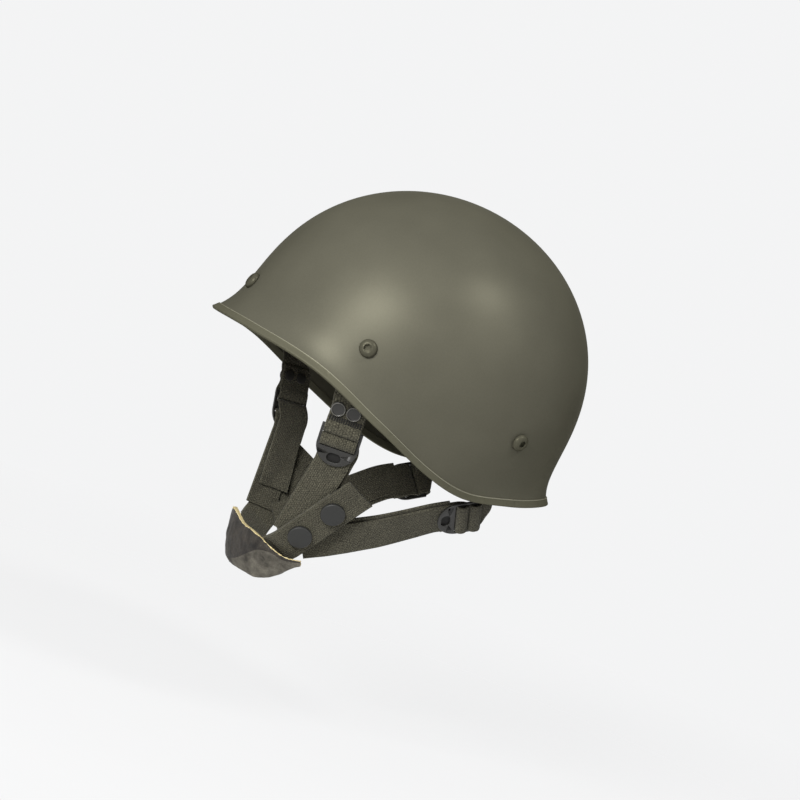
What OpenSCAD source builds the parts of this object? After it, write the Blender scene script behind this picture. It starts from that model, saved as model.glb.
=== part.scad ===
// Paratrooper helmet: a steel bowl with a rolled rim strip, five bolts, a sprung head liner
// and a four point webbing chin harness with slider buckles, press stud tabs and a leather cup.
// The front of the helmet is -Y, the wearer's left is +X and +Z is up, level as worn.
// The origin is the middle of the bowl at its widest level.

/* [Steel bowl] */
// Half length of the bowl at its widest level
bowl_half_length = 127; // [121:1:134]
// Half width of the bowl at its widest level
bowl_half_width = 116; // [111:1:122]
// Height of the crown above the widest level
crown_height = 117; // [112:1:124]
// Thickness of the steel
wall = 1.2; // [0.8:0.1:1.6]
// How far the brim flares out at the front
flare_front = 23.2; // [19:0.2:28]
// How far the brim flares out at the nape
flare_rear = 27; // [20:1:32]
// How far the brim flares out at the sides
flare_side = 8; // [5:1:11]
// Height over which the flare fades into the bowl at the sides and the nape
flare_fade = 18; // [15:0.5:21]
// Height over which the flare fades into the bowl at the front
front_fade = 16.3; // [14:0.1:19]

/* [Rim line] */
// Height of the rim at the middle of the brow
rim_front = -12.5; // [-16:0.5:-9]
// Height of the rim beside the brow
rim_brow = -15.5; // [-19:0.5:-12]
// Height of the rim at the temple
rim_temple = -25.7; // [-29:0.1:-22]
// Height of the rim in front of the ear
rim_before_ear = -49.1; // [-53:0.1:-45]
// Height of the rim at the ear
rim_ear = -69.3; // [-73:0.1:-65]
// Height of the rim behind the ear
rim_behind_ear = -79.3; // [-83:0.1:-75]
// Height of the rim at the side of the nape
rim_nape_side = -76.1; // [-80:0.1:-72]
// Height of the rim at the corner of the nape
rim_nape_corner = -71.1; // [-75:0.1:-67]
// Height of the rim at the middle of the nape
rim_nape = -71.1; // [-75:0.1:-67]
// Width of the rolled strip that closes the edge
strip_width = 5; // [4:0.5:6]
// Thickness of the rolled strip
strip_thickness = 0.7; // [0.5:0.1:1]
// Gap between the rolled strip and the steel
strip_gap = 0.12; // [0.08:0.02:0.2]

/* [Bolts] */
// Height of the front bolt
front_bolt_z = 13.5; // [8:0.5:20]
// Azimuth of the side bolts, from the front
side_bolt_azimuth = 56.9; // [54:0.1:60]
// Height of the side bolts
side_bolt_z = -1.1; // [-5:0.1:5]
// Azimuth of the rear bolts, from the front
rear_bolt_azimuth = 121.4; // [118:0.1:124]
// Height of the rear bolts
rear_bolt_z = -29.9; // [-34:0.1:-26]
// Diameter of a bolt head
bolt_head_d = 12.6; // [11:0.2:14]
// Height of a bolt head
bolt_head_h = 3.6; // [3:0.1:4.2]
// Diameter of the bolt's shank
bolt_d = 6; // [5:0.5:6.5]
// Play of the shank in its holes, on the radius
bolt_play = 0.2; // [0.1:0.05:0.4]
// Width across flats of the hex socket
socket_flats = 5; // [4:0.2:5.6]
// Depth of the hex socket
socket_depth = 2; // [1.4:0.1:2.4]
// Diameter of a washer
washer_d = 15; // [13:0.5:17]
// Thickness of a washer
washer_t = 1; // [0.6:0.1:1.6]
// Width across flats of a nut
nut_flats = 10; // [9:0.5:11]
// Height of a nut
nut_h = 4.5; // [3.5:0.5:5.5]
// Gap left between stacked pieces
seat_gap = 0.12; // [0.08:0.02:0.2]

/* [Head liner] */
// Half width of the headband ring, outside
ring_half_width = 82.5; // [79:0.5:86]
// Half length of the headband ring, outside
ring_half_length = 101; // [97:0.5:105]
// Height of the headband ring
ring_height = 26; // [20:1:30]
// Thickness of the headband ring
ring_t = 1.4; // [1:0.1:2]
// Height of the ring's middle above the bowl's widest level
ring_z = -8.5; // [-12:0.5:-5]
// Downward tilt of the ring towards the nape
ring_tilt = 12.7; // [10:0.1:15]
// Thickness of the leather sweatband
sweat_t = 2.4; // [1.8:0.1:3.2]
// Height of the leather sweatband
sweat_height = 36; // [28:1:40]
// Gap between the sweatband and the ring
sweat_gap = 0.3; // [0.2:0.05:0.6]
// Width of a liner bracket
bracket_width = 13; // [10:0.5:15]
// Thickness of a liner bracket
bracket_t = 1.2; // [0.8:0.1:1.6]
// Height of the crown straps above the headband ring
crown_strap_rise = 88; // [80:1:92]
// Width of a crown strap
crown_strap_width = 19; // [15:1:24]
// Thickness of a crown strap
crown_strap_t = 1.4; // [1:0.1:1.8]
// Length of a crown strap's end on the ring
crown_strap_end = 18; // [15:0.5:21]
// Thickness of the crown pad
pad_t = 10; // [7:0.5:12]
// Half size of the crown pad, as an angle of the bowl
pad_angle = 25; // [20:1:30]
// Diameter of a headband rivet's head
rivet_head_d = 7; // [6:0.5:9]
// Diameter of a headband rivet's shank
rivet_d = 3; // [2.5:0.1:3.6]

/* [Webbing] */
// Width of the harness webbing
web_width = 25; // [23:0.5:27]
// Thickness of the harness webbing
web_t = 1.8; // [1.4:0.1:2]
// Gap between pieces that move against each other
layer_gap = 0.3; // [0.25:0.05:0.4]

/* [Cheek side] */
// Left press stud nearest the cup: distance from the middle plane
stud_x = 49.8; // [46:0.2:54]
// The same press stud, place along the helmet
stud_y = -52.3; // [-55:0.1:-49]
// The same press stud, height
stud_z = -142.2; // [-146:0.2:-138]
// Turn of the strap plane towards the face
cheek_yaw = 20; // [17:0.5:23]
// Lean of the strap plane, inwards at the bottom
cheek_lean = 15.5; // [13:0.5:18]
// Middle of the front strap, across the strap plane
front_strap_x = 5.2; // [3:0.2:8]
// Height of the front buckle's bar above the press stud
front_bar_y = 84.8; // [80:0.2:90]
// Turn of the front strap below the buckle
front_strap_turn = 12; // [9:0.5:15]
// Length of the front strap below the buckle's bar
front_strap_length = 88; // [82:1:91]
// Direction of the tab in the strap plane
tab_angle = 55; // [50:0.5:59]
// Roll of the tab's plane about its upper edge, the lower edge inwards
jaw_roll = 15; // [11:0.5:18]
// Distance from the tab's fold to the first press stud
tab_fold = 9; // [8.8:0.1:11]
// Distance from the first press stud to the tab's free end
tab_reach = 54.5; // [50:0.5:60]
// Distance between the two press studs
stud_pitch = 29.5; // [24:0.5:33]
// Diameter of a press stud's cap
cap_d = 17.2; // [14:0.2:17.6]
// Height of a press stud's cap
cap_h = 2.7; // [2:0.1:3]
// Diameter of a press stud's post
post_d = 4.8; // [4:0.2:5.2]
// Play of the post in its cap, on the radius
post_play = 0.5; // [0.4:0.05:0.7]

/* [Buckles] */
// Width of a buckle over its rails
buckle_width = 29.6; // [29.4:0.2:32]
// Thickness of a buckle's plate
buckle_t = 1.6; // [1.2:0.1:2]
// Distance from the hanger's bar to the tip of the tongue
buckle_length = 27; // [26:0.5:29]
// Distance from the hanger's bar to the middle bar
bar_pitch = 9.2; // [8.8:0.1:10]
// Width of a bar
bar_width = 3.2; // [2.6:0.1:3.6]
// Width of the oval thumb hole
thumb_hole_width = 10; // [8:0.5:11]
// Height of the oval thumb hole
thumb_hole_height = 6.5; // [5.5:0.1:7.2]
// Inner radius of a webbing loop round a bar
loop_r = 2.2; // [2.1:0.05:2.4]
// Diameter of a hanger rivet's cap
hanger_rivet_d = 10.6; // [9:0.2:10.8]
// Distance between the two hanger rivets
hanger_rivet_pitch = 11; // [11:0.1:12.6]

/* [Rear side] */
// Left rear buckle's place: distance from the middle plane
rear_x = 65.4; // [62:0.2:69]
// Left rear buckle's place along the helmet
rear_y = 45.6; // [43:0.2:49]
// Left rear buckle's height
rear_z = -95.5; // [-98:0.1:-92]
// Turn of the rear strap plane towards the nape
rear_yaw = 15; // [12:0.5:18]
// Lean of the rear strap plane, inwards at the bottom
rear_lean = 30.5; // [27:0.5:33]
// Rise of the rear strap towards the nape
rear_rise = 30.5; // [28:0.5:33]

/* [Chin cup] */
// Thickness of the cup's leather
cup_t = 2.2; // [1.6:0.1:2.6]

/* [Hidden] */

olive = [0.44, 0.43, 0.37];
webbing = [0.31, 0.31, 0.26];
black_metal = [0.2, 0.2, 0.19];
leather = [0.27, 0.25, 0.23];
tan_leather = [0.55, 0.42, 0.28];

// Grid of the bowl
bowl_columns = 60;
bowl_rows = 18;
row_crowding = 1.3;
rim_heights = [rim_front, rim_brow, rim_temple, rim_before_ear, rim_ear,
    rim_behind_ear, rim_nape_side, rim_nape_corner, rim_nape];
rim_step = 22.5;
// The flare starts this far down from the crown, as an angle of the bowl
flare_start = 28.6;

// Places of the bolts: azimuth, height, and whether a webbing hanger is clamped there
bolts = [[0, front_bolt_z, false],
    [side_bolt_azimuth, side_bolt_z, true], [-side_bolt_azimuth, side_bolt_z, true],
    [rear_bolt_azimuth, rear_bolt_z, true], [-rear_bolt_azimuth, rear_bolt_z, true]];
eyelet_d = 20;
// A flat washer meets the hollow steel at its edge, so it lies this deep
washer_depth = wall + seat_gap + pow(washer_d, 2) / (5 * bowl_half_width);
hanger_depth = washer_depth + washer_t + seat_gap;
function bracket_depth(b) = hanger_depth + (b[2] ? web_t + seat_gap : 0);
function nut_depth(b) = bracket_depth(b) + bracket_t + seat_gap;
head_seat = 2 * seat_gap;
hole_r = bolt_d / 2 + bolt_play;

// Crown straps run between these azimuths and the ones opposite
strap_azimuths = [30, 90, 150];
crown_layer = crown_strap_t + 0.2;
// Their arch over the head, in steps from one side to the other
arch_angles = [-84 : 12 : 84];
// How far flat pieces stand off the curved ring
ring_seat = 0.6;

// Layers on the cheek, measured out from the inner face of the front strap
base_h = web_t;
tab_h = 2 * web_t + layer_gap;
tab_half = web_width / 2 + 0.3;
plate_h = web_t + layer_gap;
bar_h = plate_h + buckle_t / 2;
base_tail = 22;
base_reach = 37;
base_bend = 12;
base_drop = 4;
fold_gap = 0.25;
// Where the cheek plane bends into the tab's plane
jaw_edge = web_width / 2 + 0.6;
// A point this close to that line counts as on it
on_line = 0.001;
// A sewn layer presses this far into the one below
sewn_sink = 0.2;
// Straps start this far from their bar's middle, inside the bar's loop
strap_start = 5.6;
// Turn of the front strap: this far above the buckle's lower end, and the shift there
kink_above = 5;
kink_shift = 0.8;
tail_shift = 0.2;
tail_turn = 7;
tail_top = 6.5;
tail_length = 50;
buckle_slot = web_width / 2 + 0.4;
// Steel left between the loop's slot, the thumb hole and the rails
buckle_bridge = 3.6;
rail_end = 1.75;
// Along a hanger from its bar: where its two layers close and where the fold ends
fold_close = 8.5;
fold_end = 21;
short_close = 4.8;
short_end = 5.2;
hanger_rivet_y = 14.1;
hanger_shift = -1.6;

// Edge lines of the chin cup, from its front to its left corner
cup_top = [[0, -90.5, -143], [18, -86, -149.5], [31, -81.5, -151], [39.5, -76, -153],
    [46, -68, -157], [51, -58, -160], [55.5, -47.5, -159]];
cup_middle = [[0, -89, -163], [18, -85, -162], [31, -81, -159.5], [40, -76, -157.8],
    [46.5, -68.5, -159], [51.2, -58, -161.3], [55.5, -47.4, -159.8]];
cup_crease = [[0, -84, -179], [18, -82, -175], [31.5, -78.5, -167], [40, -75, -162],
    [46.6, -68, -160.8], [51.2, -57.6, -162.6], [55.4, -47.2, -160.6]];
cup_bottom = [[0, -80, -182.5], [17, -75.5, -182.5], [29, -68, -183], [38, -61, -179],
    [46, -54, -171], [51.5, -50.5, -166], [55.2, -46.9, -162]];
cup_lip = [[0, -58, -184], [12, -57, -183.6], [19, -55.5, -182.2], [26, -53, -178.8],
    [35, -50, -173], [44, -47.5, -167], [53.6, -45.8, -162.8]];
cup_rows = [cup_top, cup_middle, cup_crease, cup_bottom, cup_lip];
cup_steps = 3;
cup_row_steps = 2;

function unit(v) = v / norm(v);
function mix(a, b, s) = a + (b - a) * s;
function spline(a, b, c, d, s) =
    0.5 * (2 * b + (c - a) * s + (2 * a - 5 * b + 4 * c - d) * s * s
        + (3 * b - a - 3 * c + d) * s * s * s);
function clamped(list, i) = list[max(0, min(len(list) - 1, i))];
// A smooth line through the points, with steps pieces between each two
function smooth(points, steps) = concat(
    [for (i = [0 : len(points) - 2], k = [0 : steps - 1])
        spline(clamped(points, i - 1), points[i], points[i + 1], clamped(points, i + 2), k / steps)],
    [points[len(points) - 1]]);

function rim_at(i) = rim_heights[i < 0 ? -i : i > 8 ? 16 - i : i];
function folded(azimuth) = let (a = abs(azimuth) % 360) a > 180 ? 360 - a : a;
function rim_z(azimuth) =
    let (a = folded(azimuth), i = floor(a / rim_step), s = a / rim_step - i)
    spline(rim_at(i - 1), rim_at(i), rim_at(i + 1), rim_at(i + 2), s);
function rim_angle(azimuth) = acos(rim_z(azimuth) / crown_height);
// A point of the steel's outer face. The share down runs from 0 at the crown to 1 at the rim.
function bowl(azimuth, down) =
    let (zr = rim_z(azimuth),
        t = down * rim_angle(azimuth),
        z = crown_height * cos(t),
        c = cos(azimuth),
        r = 1 / sqrt(pow(c / bowl_half_length, 2) + pow(sin(azimuth) / bowl_half_width, 2)),
        front = pow(max(c, 0), 2),
        flare = flare_front * front + flare_rear * pow(max(-c, 0), 2) + flare_side * (1 - c * c),
        fade = mix(flare_fade, front_fade, front),
        rho = r * sin(t) + flare * exp((zr - z) / fade) * min(1, t / flare_start))
    [rho * sin(azimuth), -rho * cos(azimuth), z];
function bowl_normal(azimuth, down) =
    let (u = max(down, 0.02), e = 0.004, da = 0.5)
    unit(cross(bowl(azimuth, u + e) - bowl(azimuth, u - e),
        bowl(azimuth + da, u) - bowl(azimuth - da, u)));
function bowl_up(azimuth, down) = unit(bowl(azimuth, down - 0.004) - bowl(azimuth, down + 0.004));
function bowl_inside(azimuth, down, depth) =
    down == 0 ? [0, 0, crown_height - depth]
        : bowl(azimuth, down) - depth * bowl_normal(azimuth, down);
function rim_reach(azimuth) = norm(bowl(azimuth, 1) - bowl(azimuth, 0.98)) / 0.02;
// The rows crowd towards the rim, and the last but one lies at the strip's upper edge
function row_share(azimuth, i) = i == bowl_rows - 1 ? 1 - strip_width / rim_reach(azimuth)
    : 1 - pow(1 - i / bowl_rows, row_crowding);
function row_point(i, j, depth) =
    let (a = j * 360 / bowl_columns) bowl_inside(a, row_share(a, i), depth);

// The share down at which the bowl has a height, and a bolt's place, axis and upward direction
function share_at(azimuth, z) = acos(z / crown_height) / rim_angle(azimuth);
function bolt_place(b) = bowl(b[0], share_at(b[0], b[1]));
function bolt_axis(b) = bowl_normal(b[0], share_at(b[0], b[1]));
function bolt_up(b) = bowl_up(b[0], share_at(b[0], b[1]));
function mirrored(p) = [-p[0], p[1], p[2]];

// Turns and moves drawn pieces so that their Z runs out of the bowl at a bolt
module at_bolt(b) {
    n = bolt_axis(b);
    translate(bolt_place(b))
        rotate([0, acos(n[2]), atan2(n[1], n[0])])
            children();
}

// A closed skin between two grids of points that share a top point, rows and columns
module dome(outer, inner, columns, rows) {
    count = 1 + rows * columns;
    function at(i, j) = i == 0 ? 0 : 1 + (i - 1) * columns + j % columns;
    skin = [for (i = [0 : rows - 1], j = [0 : columns - 1])
        each i == 0 ? [[0, at(1, j + 1), at(1, j)]]
            : [[at(i, j), at(i, j + 1), at(i + 1, j + 1)], [at(i, j), at(i + 1, j + 1), at(i + 1, j)]]];
    back = [for (f = skin) [f[2] + count, f[1] + count, f[0] + count]];
    edge = [for (j = [0 : columns - 1])
        let (a = at(rows, j), b = at(rows, j + 1))
        each [[a, b, b + count], [a, b + count, a + count]]];
    polyhedron(concat(outer, inner), concat(skin, back, edge), convexity = 6);
}

// A profile of points carried along stations, closed into a ring or capped at both ends
module sweep(stations, closed) {
    m = len(stations[0]);
    n = len(stations);
    last = closed ? n - 1 : n - 2;
    sides = [for (i = [0 : last], k = [0 : m - 1])
        let (a = i * m, b = ((i + 1) % n) * m, l = (k + 1) % m)
        each [[a + k, b + k, b + l], [a + k, b + l, a + l]]];
    caps = closed ? [] : [[for (k = [0 : m - 1]) k], [for (k = [m - 1 : -1 : 0]) (n - 1) * m + k]];
    polyhedron([for (s = stations) each s], concat(sides, caps), convexity = 6);
}

// A strip of webbing or sheet. Each station is the middle of its inner face, the vector
// across it and its outward direction.
module ribbon(stations, t) {
    sweep([for (s = stations)
        [s[0] - s[1] / 2, s[0] + s[1] / 2, s[0] + s[1] / 2 + t * s[2], s[0] - s[1] / 2 + t * s[2]]],
        false);
}

// Stations of a strip that follows a line, with a cross direction for each point
function run(points, across) = [for (i = [0 : len(points) - 1])
    let (s = unit(clamped(points, i + 1) - clamped(points, i - 1)))
    [points[i], across[i], unit(cross(s, across[i]))]];

module shell() {
    outer = concat([[0, 0, crown_height]],
        [for (i = [1 : bowl_rows], j = [0 : bowl_columns - 1])
            row_point(i, j, 0)]);
    inner = concat([[0, 0, crown_height - wall]],
        [for (i = [1 : bowl_rows], j = [0 : bowl_columns - 1])
            row_point(i, j, wall)]);
    color(olive)
        difference() {
            dome(outer, inner, bowl_columns, bowl_rows);
            for (b = bolts)
                at_bolt(b)
                    translate([0, 0, -10])
                        cylinder(r = hole_r, h = 20, $fn = 32);
        }
}

// The strip is a channel that wraps the edge. Its legs follow the steel's last row.
function strip_station(azimuth) =
    let (edge = bowl(azimuth, 1),
        top = row_share(azimuth, bowl_rows - 1),
        above = bowl(azimuth, top),
        up = unit(above - edge),
        out = bowl_normal(azimuth, 1),
        out_above = bowl_normal(azimuth, top),
        near = strip_gap,
        far = strip_gap + strip_thickness)
    [above + far * out_above,
        edge - far * up + far * out,
        edge - far * up - (wall + far) * out,
        above - (wall + far) * out_above,
        above - (wall + near) * out_above,
        edge - near * up - (wall + near) * out,
        edge - near * up + near * out,
        above + near * out_above];

module rim_strip() {
    color(olive)
        sweep([for (j = [0 : bowl_columns - 1]) strip_station(j * 360 / bowl_columns)], true);
}

// Profile of a button head: flat seat, short rim, domed top
function head_profile(d, h) = concat([[0, 0], [d / 2, 0], [d / 2, h * 0.22]],
    [for (a = [15 : 15 : 75]) [d * (0.2 + 0.3 * cos(a)), h * (0.22 + 0.78 * sin(a))]],
    [[d * 0.2, h], [0, h]]);

module shell_bolts() {
    color(olive)
        for (b = bolts)
            at_bolt(b)
                difference() {
                    union() {
                        translate([0, 0, head_seat])
                            rotate_extrude($fn = 48)
                                polygon(head_profile(bolt_head_d, bolt_head_h));
                        translate([0, 0, -nut_depth(b) - nut_h - 1])
                            cylinder(d = bolt_d, h = nut_depth(b) + nut_h + 1 + 2 * head_seat, $fn = 32);
                    }
                    translate([0, 0, head_seat + bolt_head_h - socket_depth])
                        cylinder(d = socket_flats / cos(30), h = socket_depth + 1, $fn = 6);
                }
}

module bolt_washers() {
    color(black_metal)
        for (b = bolts)
            at_bolt(b)
                translate([0, 0, -washer_depth - washer_t])
                    difference() {
                        cylinder(d = washer_d, h = washer_t, $fn = 40);
                        translate([0, 0, -1])
                            cylinder(r = hole_r, h = washer_t + 2, $fn = 32);
                    }
}

module bolt_nuts() {
    color(black_metal)
        for (b = bolts)
            at_bolt(b)
                translate([0, 0, -nut_depth(b) - nut_h])
                    difference() {
                        cylinder(d = nut_flats / cos(30), h = nut_h, $fn = 6);
                        translate([0, 0, -1])
                            cylinder(d = bolt_d + 0.1, h = nut_h + 2, $fn = 32);
                    }
}

// The headband ring's own level plane
module on_ring() {
    translate([0, 0, ring_z])
        rotate([-ring_tilt, 0, 0])
            children();
}
function ring_point(x, y, z) =
    [x, y * cos(ring_tilt) + z * sin(ring_tilt), ring_z - y * sin(ring_tilt) + z * cos(ring_tilt)];
function ring_radius(azimuth, grow) =
    1 / sqrt(pow(cos(azimuth) / (ring_half_length + grow), 2)
        + pow(sin(azimuth) / (ring_half_width + grow), 2));
function ring_outline(grow) = [for (a = [0 : 5 : 355])
    [ring_radius(a, grow) * sin(a), -ring_radius(a, grow) * cos(a)]];
function around(azimuth) = [cos(azimuth), sin(azimuth), 0];
// A place on the ring's outside at an azimuth, and the azimuth that the ring faces there
function ring_local(azimuth, grow, z) =
    let (r = ring_radius(azimuth, grow)) [r * sin(azimuth), -r * cos(azimuth), z];
function ring_level(azimuth, grow, z) =
    let (p = ring_local(azimuth, grow, z)) ring_point(p[0], p[1], p[2]);
function ring_facing(azimuth) =
    atan2(sin(azimuth) / pow(ring_half_width, 2), cos(azimuth) / pow(ring_half_length, 2));

module band(outer, inner, height) {
    translate([0, 0, -height / 2])
        linear_extrude(height)
            difference() {
                polygon(ring_outline(outer));
                polygon(ring_outline(inner));
            }
}

// Each rivet: azimuth, height on the ring, and the thickness that it clamps to the ring
bracket_drop = 9;
rivets = concat(
    [for (b = bolts) [b[0], -4, bracket_t]],
    [for (a = strap_azimuths, s = [0, 180]) [a + s, -2, crown_strap_t]]);

// Turns and moves drawn pieces so that their Z runs out of the ring at a rivet
module at_rivet(v) {
    on_ring()
        translate(ring_local(v[0], 0, v[1]))
            rotate([0, 90, ring_facing(v[0]) - 90])
                children();
}

module rivet_holes() {
    for (v = rivets)
        at_rivet(v)
            translate([0, 0, -ring_t - 1])
                cylinder(r = rivet_d / 2 + 0.1, h = ring_t + 8, $fn = 20);
}

module headband_ring() {
    color(black_metal)
        difference() {
            on_ring() band(0, -ring_t, ring_height);
            rivet_holes();
        }
}

module headband_rivets() {
    color(black_metal)
        for (v = rivets)
            at_rivet(v) {
                translate([0, 0, -0.9 * ring_t])
                    cylinder(d = rivet_d, h = 0.9 * ring_t + ring_seat + v[2] + 0.6, $fn = 20);
                translate([0, 0, ring_seat + v[2] + 0.3])
                    rotate_extrude($fn = 24)
                        polygon(head_profile(rivet_head_d, 1.4));
            }
}

module sweatband() {
    color(tan_leather)
        on_ring()
            band(-ring_t - sweat_gap, -ring_t - sweat_gap - sweat_t, sweat_height);
}

// A bracket runs up from the bolt along the steel, over, and down the ring's outside
function bracket_stations(b) =
    let (foot = bolt_place(b) - (bracket_depth(b) + bracket_t) * bolt_axis(b),
        up = bolt_up(b),
        foot_across = bracket_width * unit(cross(bolt_axis(b), up)),
        ring_across = -bracket_width * around(ring_facing(b[0])),
        top = ring_level(b[0], ring_seat + bracket_t, 6),
        low = ring_level(b[0], ring_seat + bracket_t, -bracket_drop),
        rise = foot + 13 * up,
        over = mix(rise, top, 0.5) + [0, 0, 5],
        arch = smooth([rise - 2 * up, over, top], 4))
    run(concat([foot - 5 * up, foot + 5 * up], arch, [mix(top, low, 0.5), low]),
        concat([foot_across, foot_across],
            [for (i = [0 : len(arch) - 1]) mix(foot_across, ring_across, i / (len(arch) - 1))],
            [ring_across, ring_across]));

module liner_brackets() {
    color(black_metal)
        for (b = bolts)
            difference() {
                ribbon(bracket_stations(b), bracket_t);
                at_bolt(b)
                    translate([0, 0, -bracket_depth(b) - 5])
                        cylinder(r = hole_r, h = 8, $fn = 32);
                rivet_holes();
            }
}

// A crown strap runs up one side of the ring, over the head and down the other side. Where
// it leaves the ring it turns from facing out of the ring to lying square over the head.
function crown_end(azimuth) = [for (z = [-crown_strap_end / 2, 2]) ring_level(azimuth, ring_seat, z)];
function crown_stations(azimuth, layer) =
    let (rise = crown_strap_rise + layer * crown_layer,
        edge = 8,
        low = crown_end(azimuth),
        high = crown_end(azimuth + 180),
        arch = [for (t = arch_angles)
            let (side = t < 0 ? azimuth : azimuth + 180,
                r = ring_radius(side, ring_seat) * sin(abs(t)),
                lean = rise * sin(ring_tilt) * pow(cos(t), 2))
            ring_point(r * sin(side), -r * cos(side), edge + (rise - edge) * cos(t)) - [0, lean, 0]],
        turn = ring_facing(azimuth) - azimuth,
        turns = concat([1, 1], [for (t = arch_angles) max(0, (abs(t) - 60) / 24)], [1, 1]))
    run(concat(low, arch, [high[1], high[0]]),
        [for (t = turns) -crown_strap_width * around(azimuth + t * turn)]);

module crown_straps() {
    color(webbing)
        for (k = [0 : 2])
            difference() {
                ribbon(crown_stations(strap_azimuths[k], k), crown_strap_t);
                rivet_holes();
            }
}

// The crown pad hugs the steel above and bulges below
pad_columns = 36;
pad_rows = 5;
function pad_share(azimuth, i) = i / pad_rows * pad_angle / rim_angle(azimuth);
pad_gap = 0.5;
function pad_depth(i) = wall + pad_gap + pad_t * (0.35 + 0.65 * sqrt(1 - pow(i / pad_rows, 3)));

module crown_pad() {
    outer = concat([[0, 0, crown_height - wall - pad_gap]],
        [for (i = [1 : pad_rows], j = [0 : pad_columns - 1])
            let (a = j * 360 / pad_columns)
            bowl_inside(a, pad_share(a, i), wall + pad_gap + (i == pad_rows ? 0.6 : 0))]);
    inner = concat([[0, 0, crown_height - pad_depth(0)]],
        [for (i = [1 : pad_rows], j = [0 : pad_columns - 1])
            let (a = j * 360 / pad_columns)
            bowl_inside(a, pad_share(a, i), pad_depth(i))]);
    color(black_metal)
        dome(outer, inner, pad_columns, pad_rows);
}

// Flat working planes of the harness: X across the strap, Y up it, Z out of the head
module on_plane(place, yaw, lean) {
    translate(place)
        rotate([0, 0, -yaw])
            rotate([0, lean, 0])
                rotate([90, 0, 90])
                    children();
}
function plane_x(yaw) = [sin(yaw), cos(yaw), 0];
function plane_z(yaw, lean) =
    [cos(lean) * cos(yaw), -cos(lean) * sin(yaw), -sin(lean)];
function plane_y(yaw, lean) = cross(plane_z(yaw, lean), plane_x(yaw));

cheek_place = [stud_x, stud_y, stud_z];
cheek_x = plane_x(cheek_yaw);
cheek_y = plane_y(cheek_yaw, cheek_lean);
cheek_z = plane_z(cheek_yaw, cheek_lean);
function cheek(x, y, h) = cheek_place + x * cheek_x + y * cheek_y + h * cheek_z;

rear_place = [rear_x, rear_y, rear_z];
rear_flat_x = plane_x(-rear_yaw);
rear_flat_y = plane_y(-rear_yaw, rear_lean);
rear_out = plane_z(-rear_yaw, rear_lean);
rear_along = cos(rear_rise) * rear_flat_x + sin(rear_rise) * rear_flat_y;
rear_across = cross(rear_along, rear_out);
function rear(x, y, h) = rear_place + x * rear_across + y * rear_along + h * rear_out;

module on_cheek() {
    on_plane(cheek_place, cheek_yaw, cheek_lean) children();
}
module on_front_bar() {
    on_cheek() translate([front_strap_x, front_bar_y, 0]) children();
}
module on_rear_bar() {
    on_plane(rear_place, -rear_yaw, rear_lean)
        rotate([0, 0, rear_rise - 90])
            translate([0, buckle_middle, 0])
                children();
}
// The rear buckle's place is the middle between its bar and the tip of its tongue
buckle_middle = buckle_length / 2;

// A prism that runs across the strap, from a profile drawn in Y and Z
module across_strap(width) {
    rotate([90, 0, 90])
        translate([0, 0, -width / 2])
            linear_extrude(width)
                children();
}

// The buckle's flat plate, its hanger bar on the X axis and a half round tongue below
module buckle() {
    half = buckle_width / 2;
    middle_bar_y = -bar_pitch;
    plate_top = -bar_pitch - bar_width / 2 - web_t - 1.7;
    hole_y = plate_top - buckle_bridge - thumb_hole_height / 2;
    hole_side = (thumb_hole_width - thumb_hole_height) / 2;
    color(black_metal)
        translate([0, 0, plate_h])
            linear_extrude(buckle_t)
                difference() {
                    union() {
                        intersection() {
                            translate([0, half - buckle_length]) circle(r = half, $fn = 72);
                            translate([-half, -buckle_length]) square([buckle_width, half + 0.1]);
                        }
                        translate([-half, half - buckle_length])
                            square([buckle_width, rail_end + buckle_length - half]);
                    }
                    translate([-buckle_slot, plate_top])
                        square([2 * buckle_slot, middle_bar_y - bar_width / 2 - plate_top]);
                    translate([-buckle_slot, middle_bar_y + bar_width / 2])
                        square([2 * buckle_slot, bar_pitch - bar_width]);
                    for (s = [-1, 1])
                        translate([s * hole_side, hole_y]) circle(d = thumb_hole_height, $fn = 36);
                    translate([-hole_side, hole_y - thumb_hole_height / 2])
                        square([2 * hole_side, thumb_hole_height]);
                }
}

// The strap's own loop over the middle bar, which moves with the buckle
module bar_loop() {
    color(webbing)
        translate([0, -bar_pitch, 0])
            across_strap(web_width)
                difference() {
                    translate([0, bar_h]) circle(r = loop_r + 1.6, $fn = 40);
                    translate([0, bar_h]) circle(r = loop_r, $fn = 40);
                    translate([-8, plate_h - 8]) square([16, 8]);
                    translate([-loop_r, plate_h - 1]) square([2 * loop_r, bar_h - plate_h + 1]);
                }
}

// The hanger's eye round the bar. Its two layers close at the first distance from the bar
// and end at the second.
module hanger_eye(close, fold) {
    inner_h = bar_h - loop_r - 1.7;
    near = 0.72 * close;
    across_strap(web_width)
        difference() {
            union() {
                translate([0, bar_h]) circle(r = loop_r + 1.7, $fn = 40);
                polygon([[0, bar_h], [0, bar_h + loop_r + 1.7], [1.5, bar_h + loop_r + 1.5],
                    [near, 2 * web_t + 0.5], [close, 2 * web_t + 0.1], [fold, 2 * web_t + 0.1],
                    [fold, web_t + 0.2], [close, web_t + 0.2], [0.6 * close, web_t + 0.6]]);
                polygon([[0, bar_h], [0.4 * close, web_t], [near, web_t], [fold, web_t], [fold, 0.1],
                    [near, 0.1], [1.5, inner_h + 0.1], [0, inner_h]]);
            }
            translate([0, bar_h]) circle(r = loop_r, $fn = 40);
        }
}

// The strap end that is clamped under a bolt
module eyelet(b) {
    at_bolt(b)
        translate([0, 0, -hanger_depth - web_t])
            cylinder(d = eyelet_d, h = web_t, $fn = 40);
}
module eyelet_hole(b) {
    at_bolt(b)
        translate([0, 0, -hanger_depth - web_t - 2])
            cylinder(r = hole_r, h = web_t + 4, $fn = 32);
}

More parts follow.
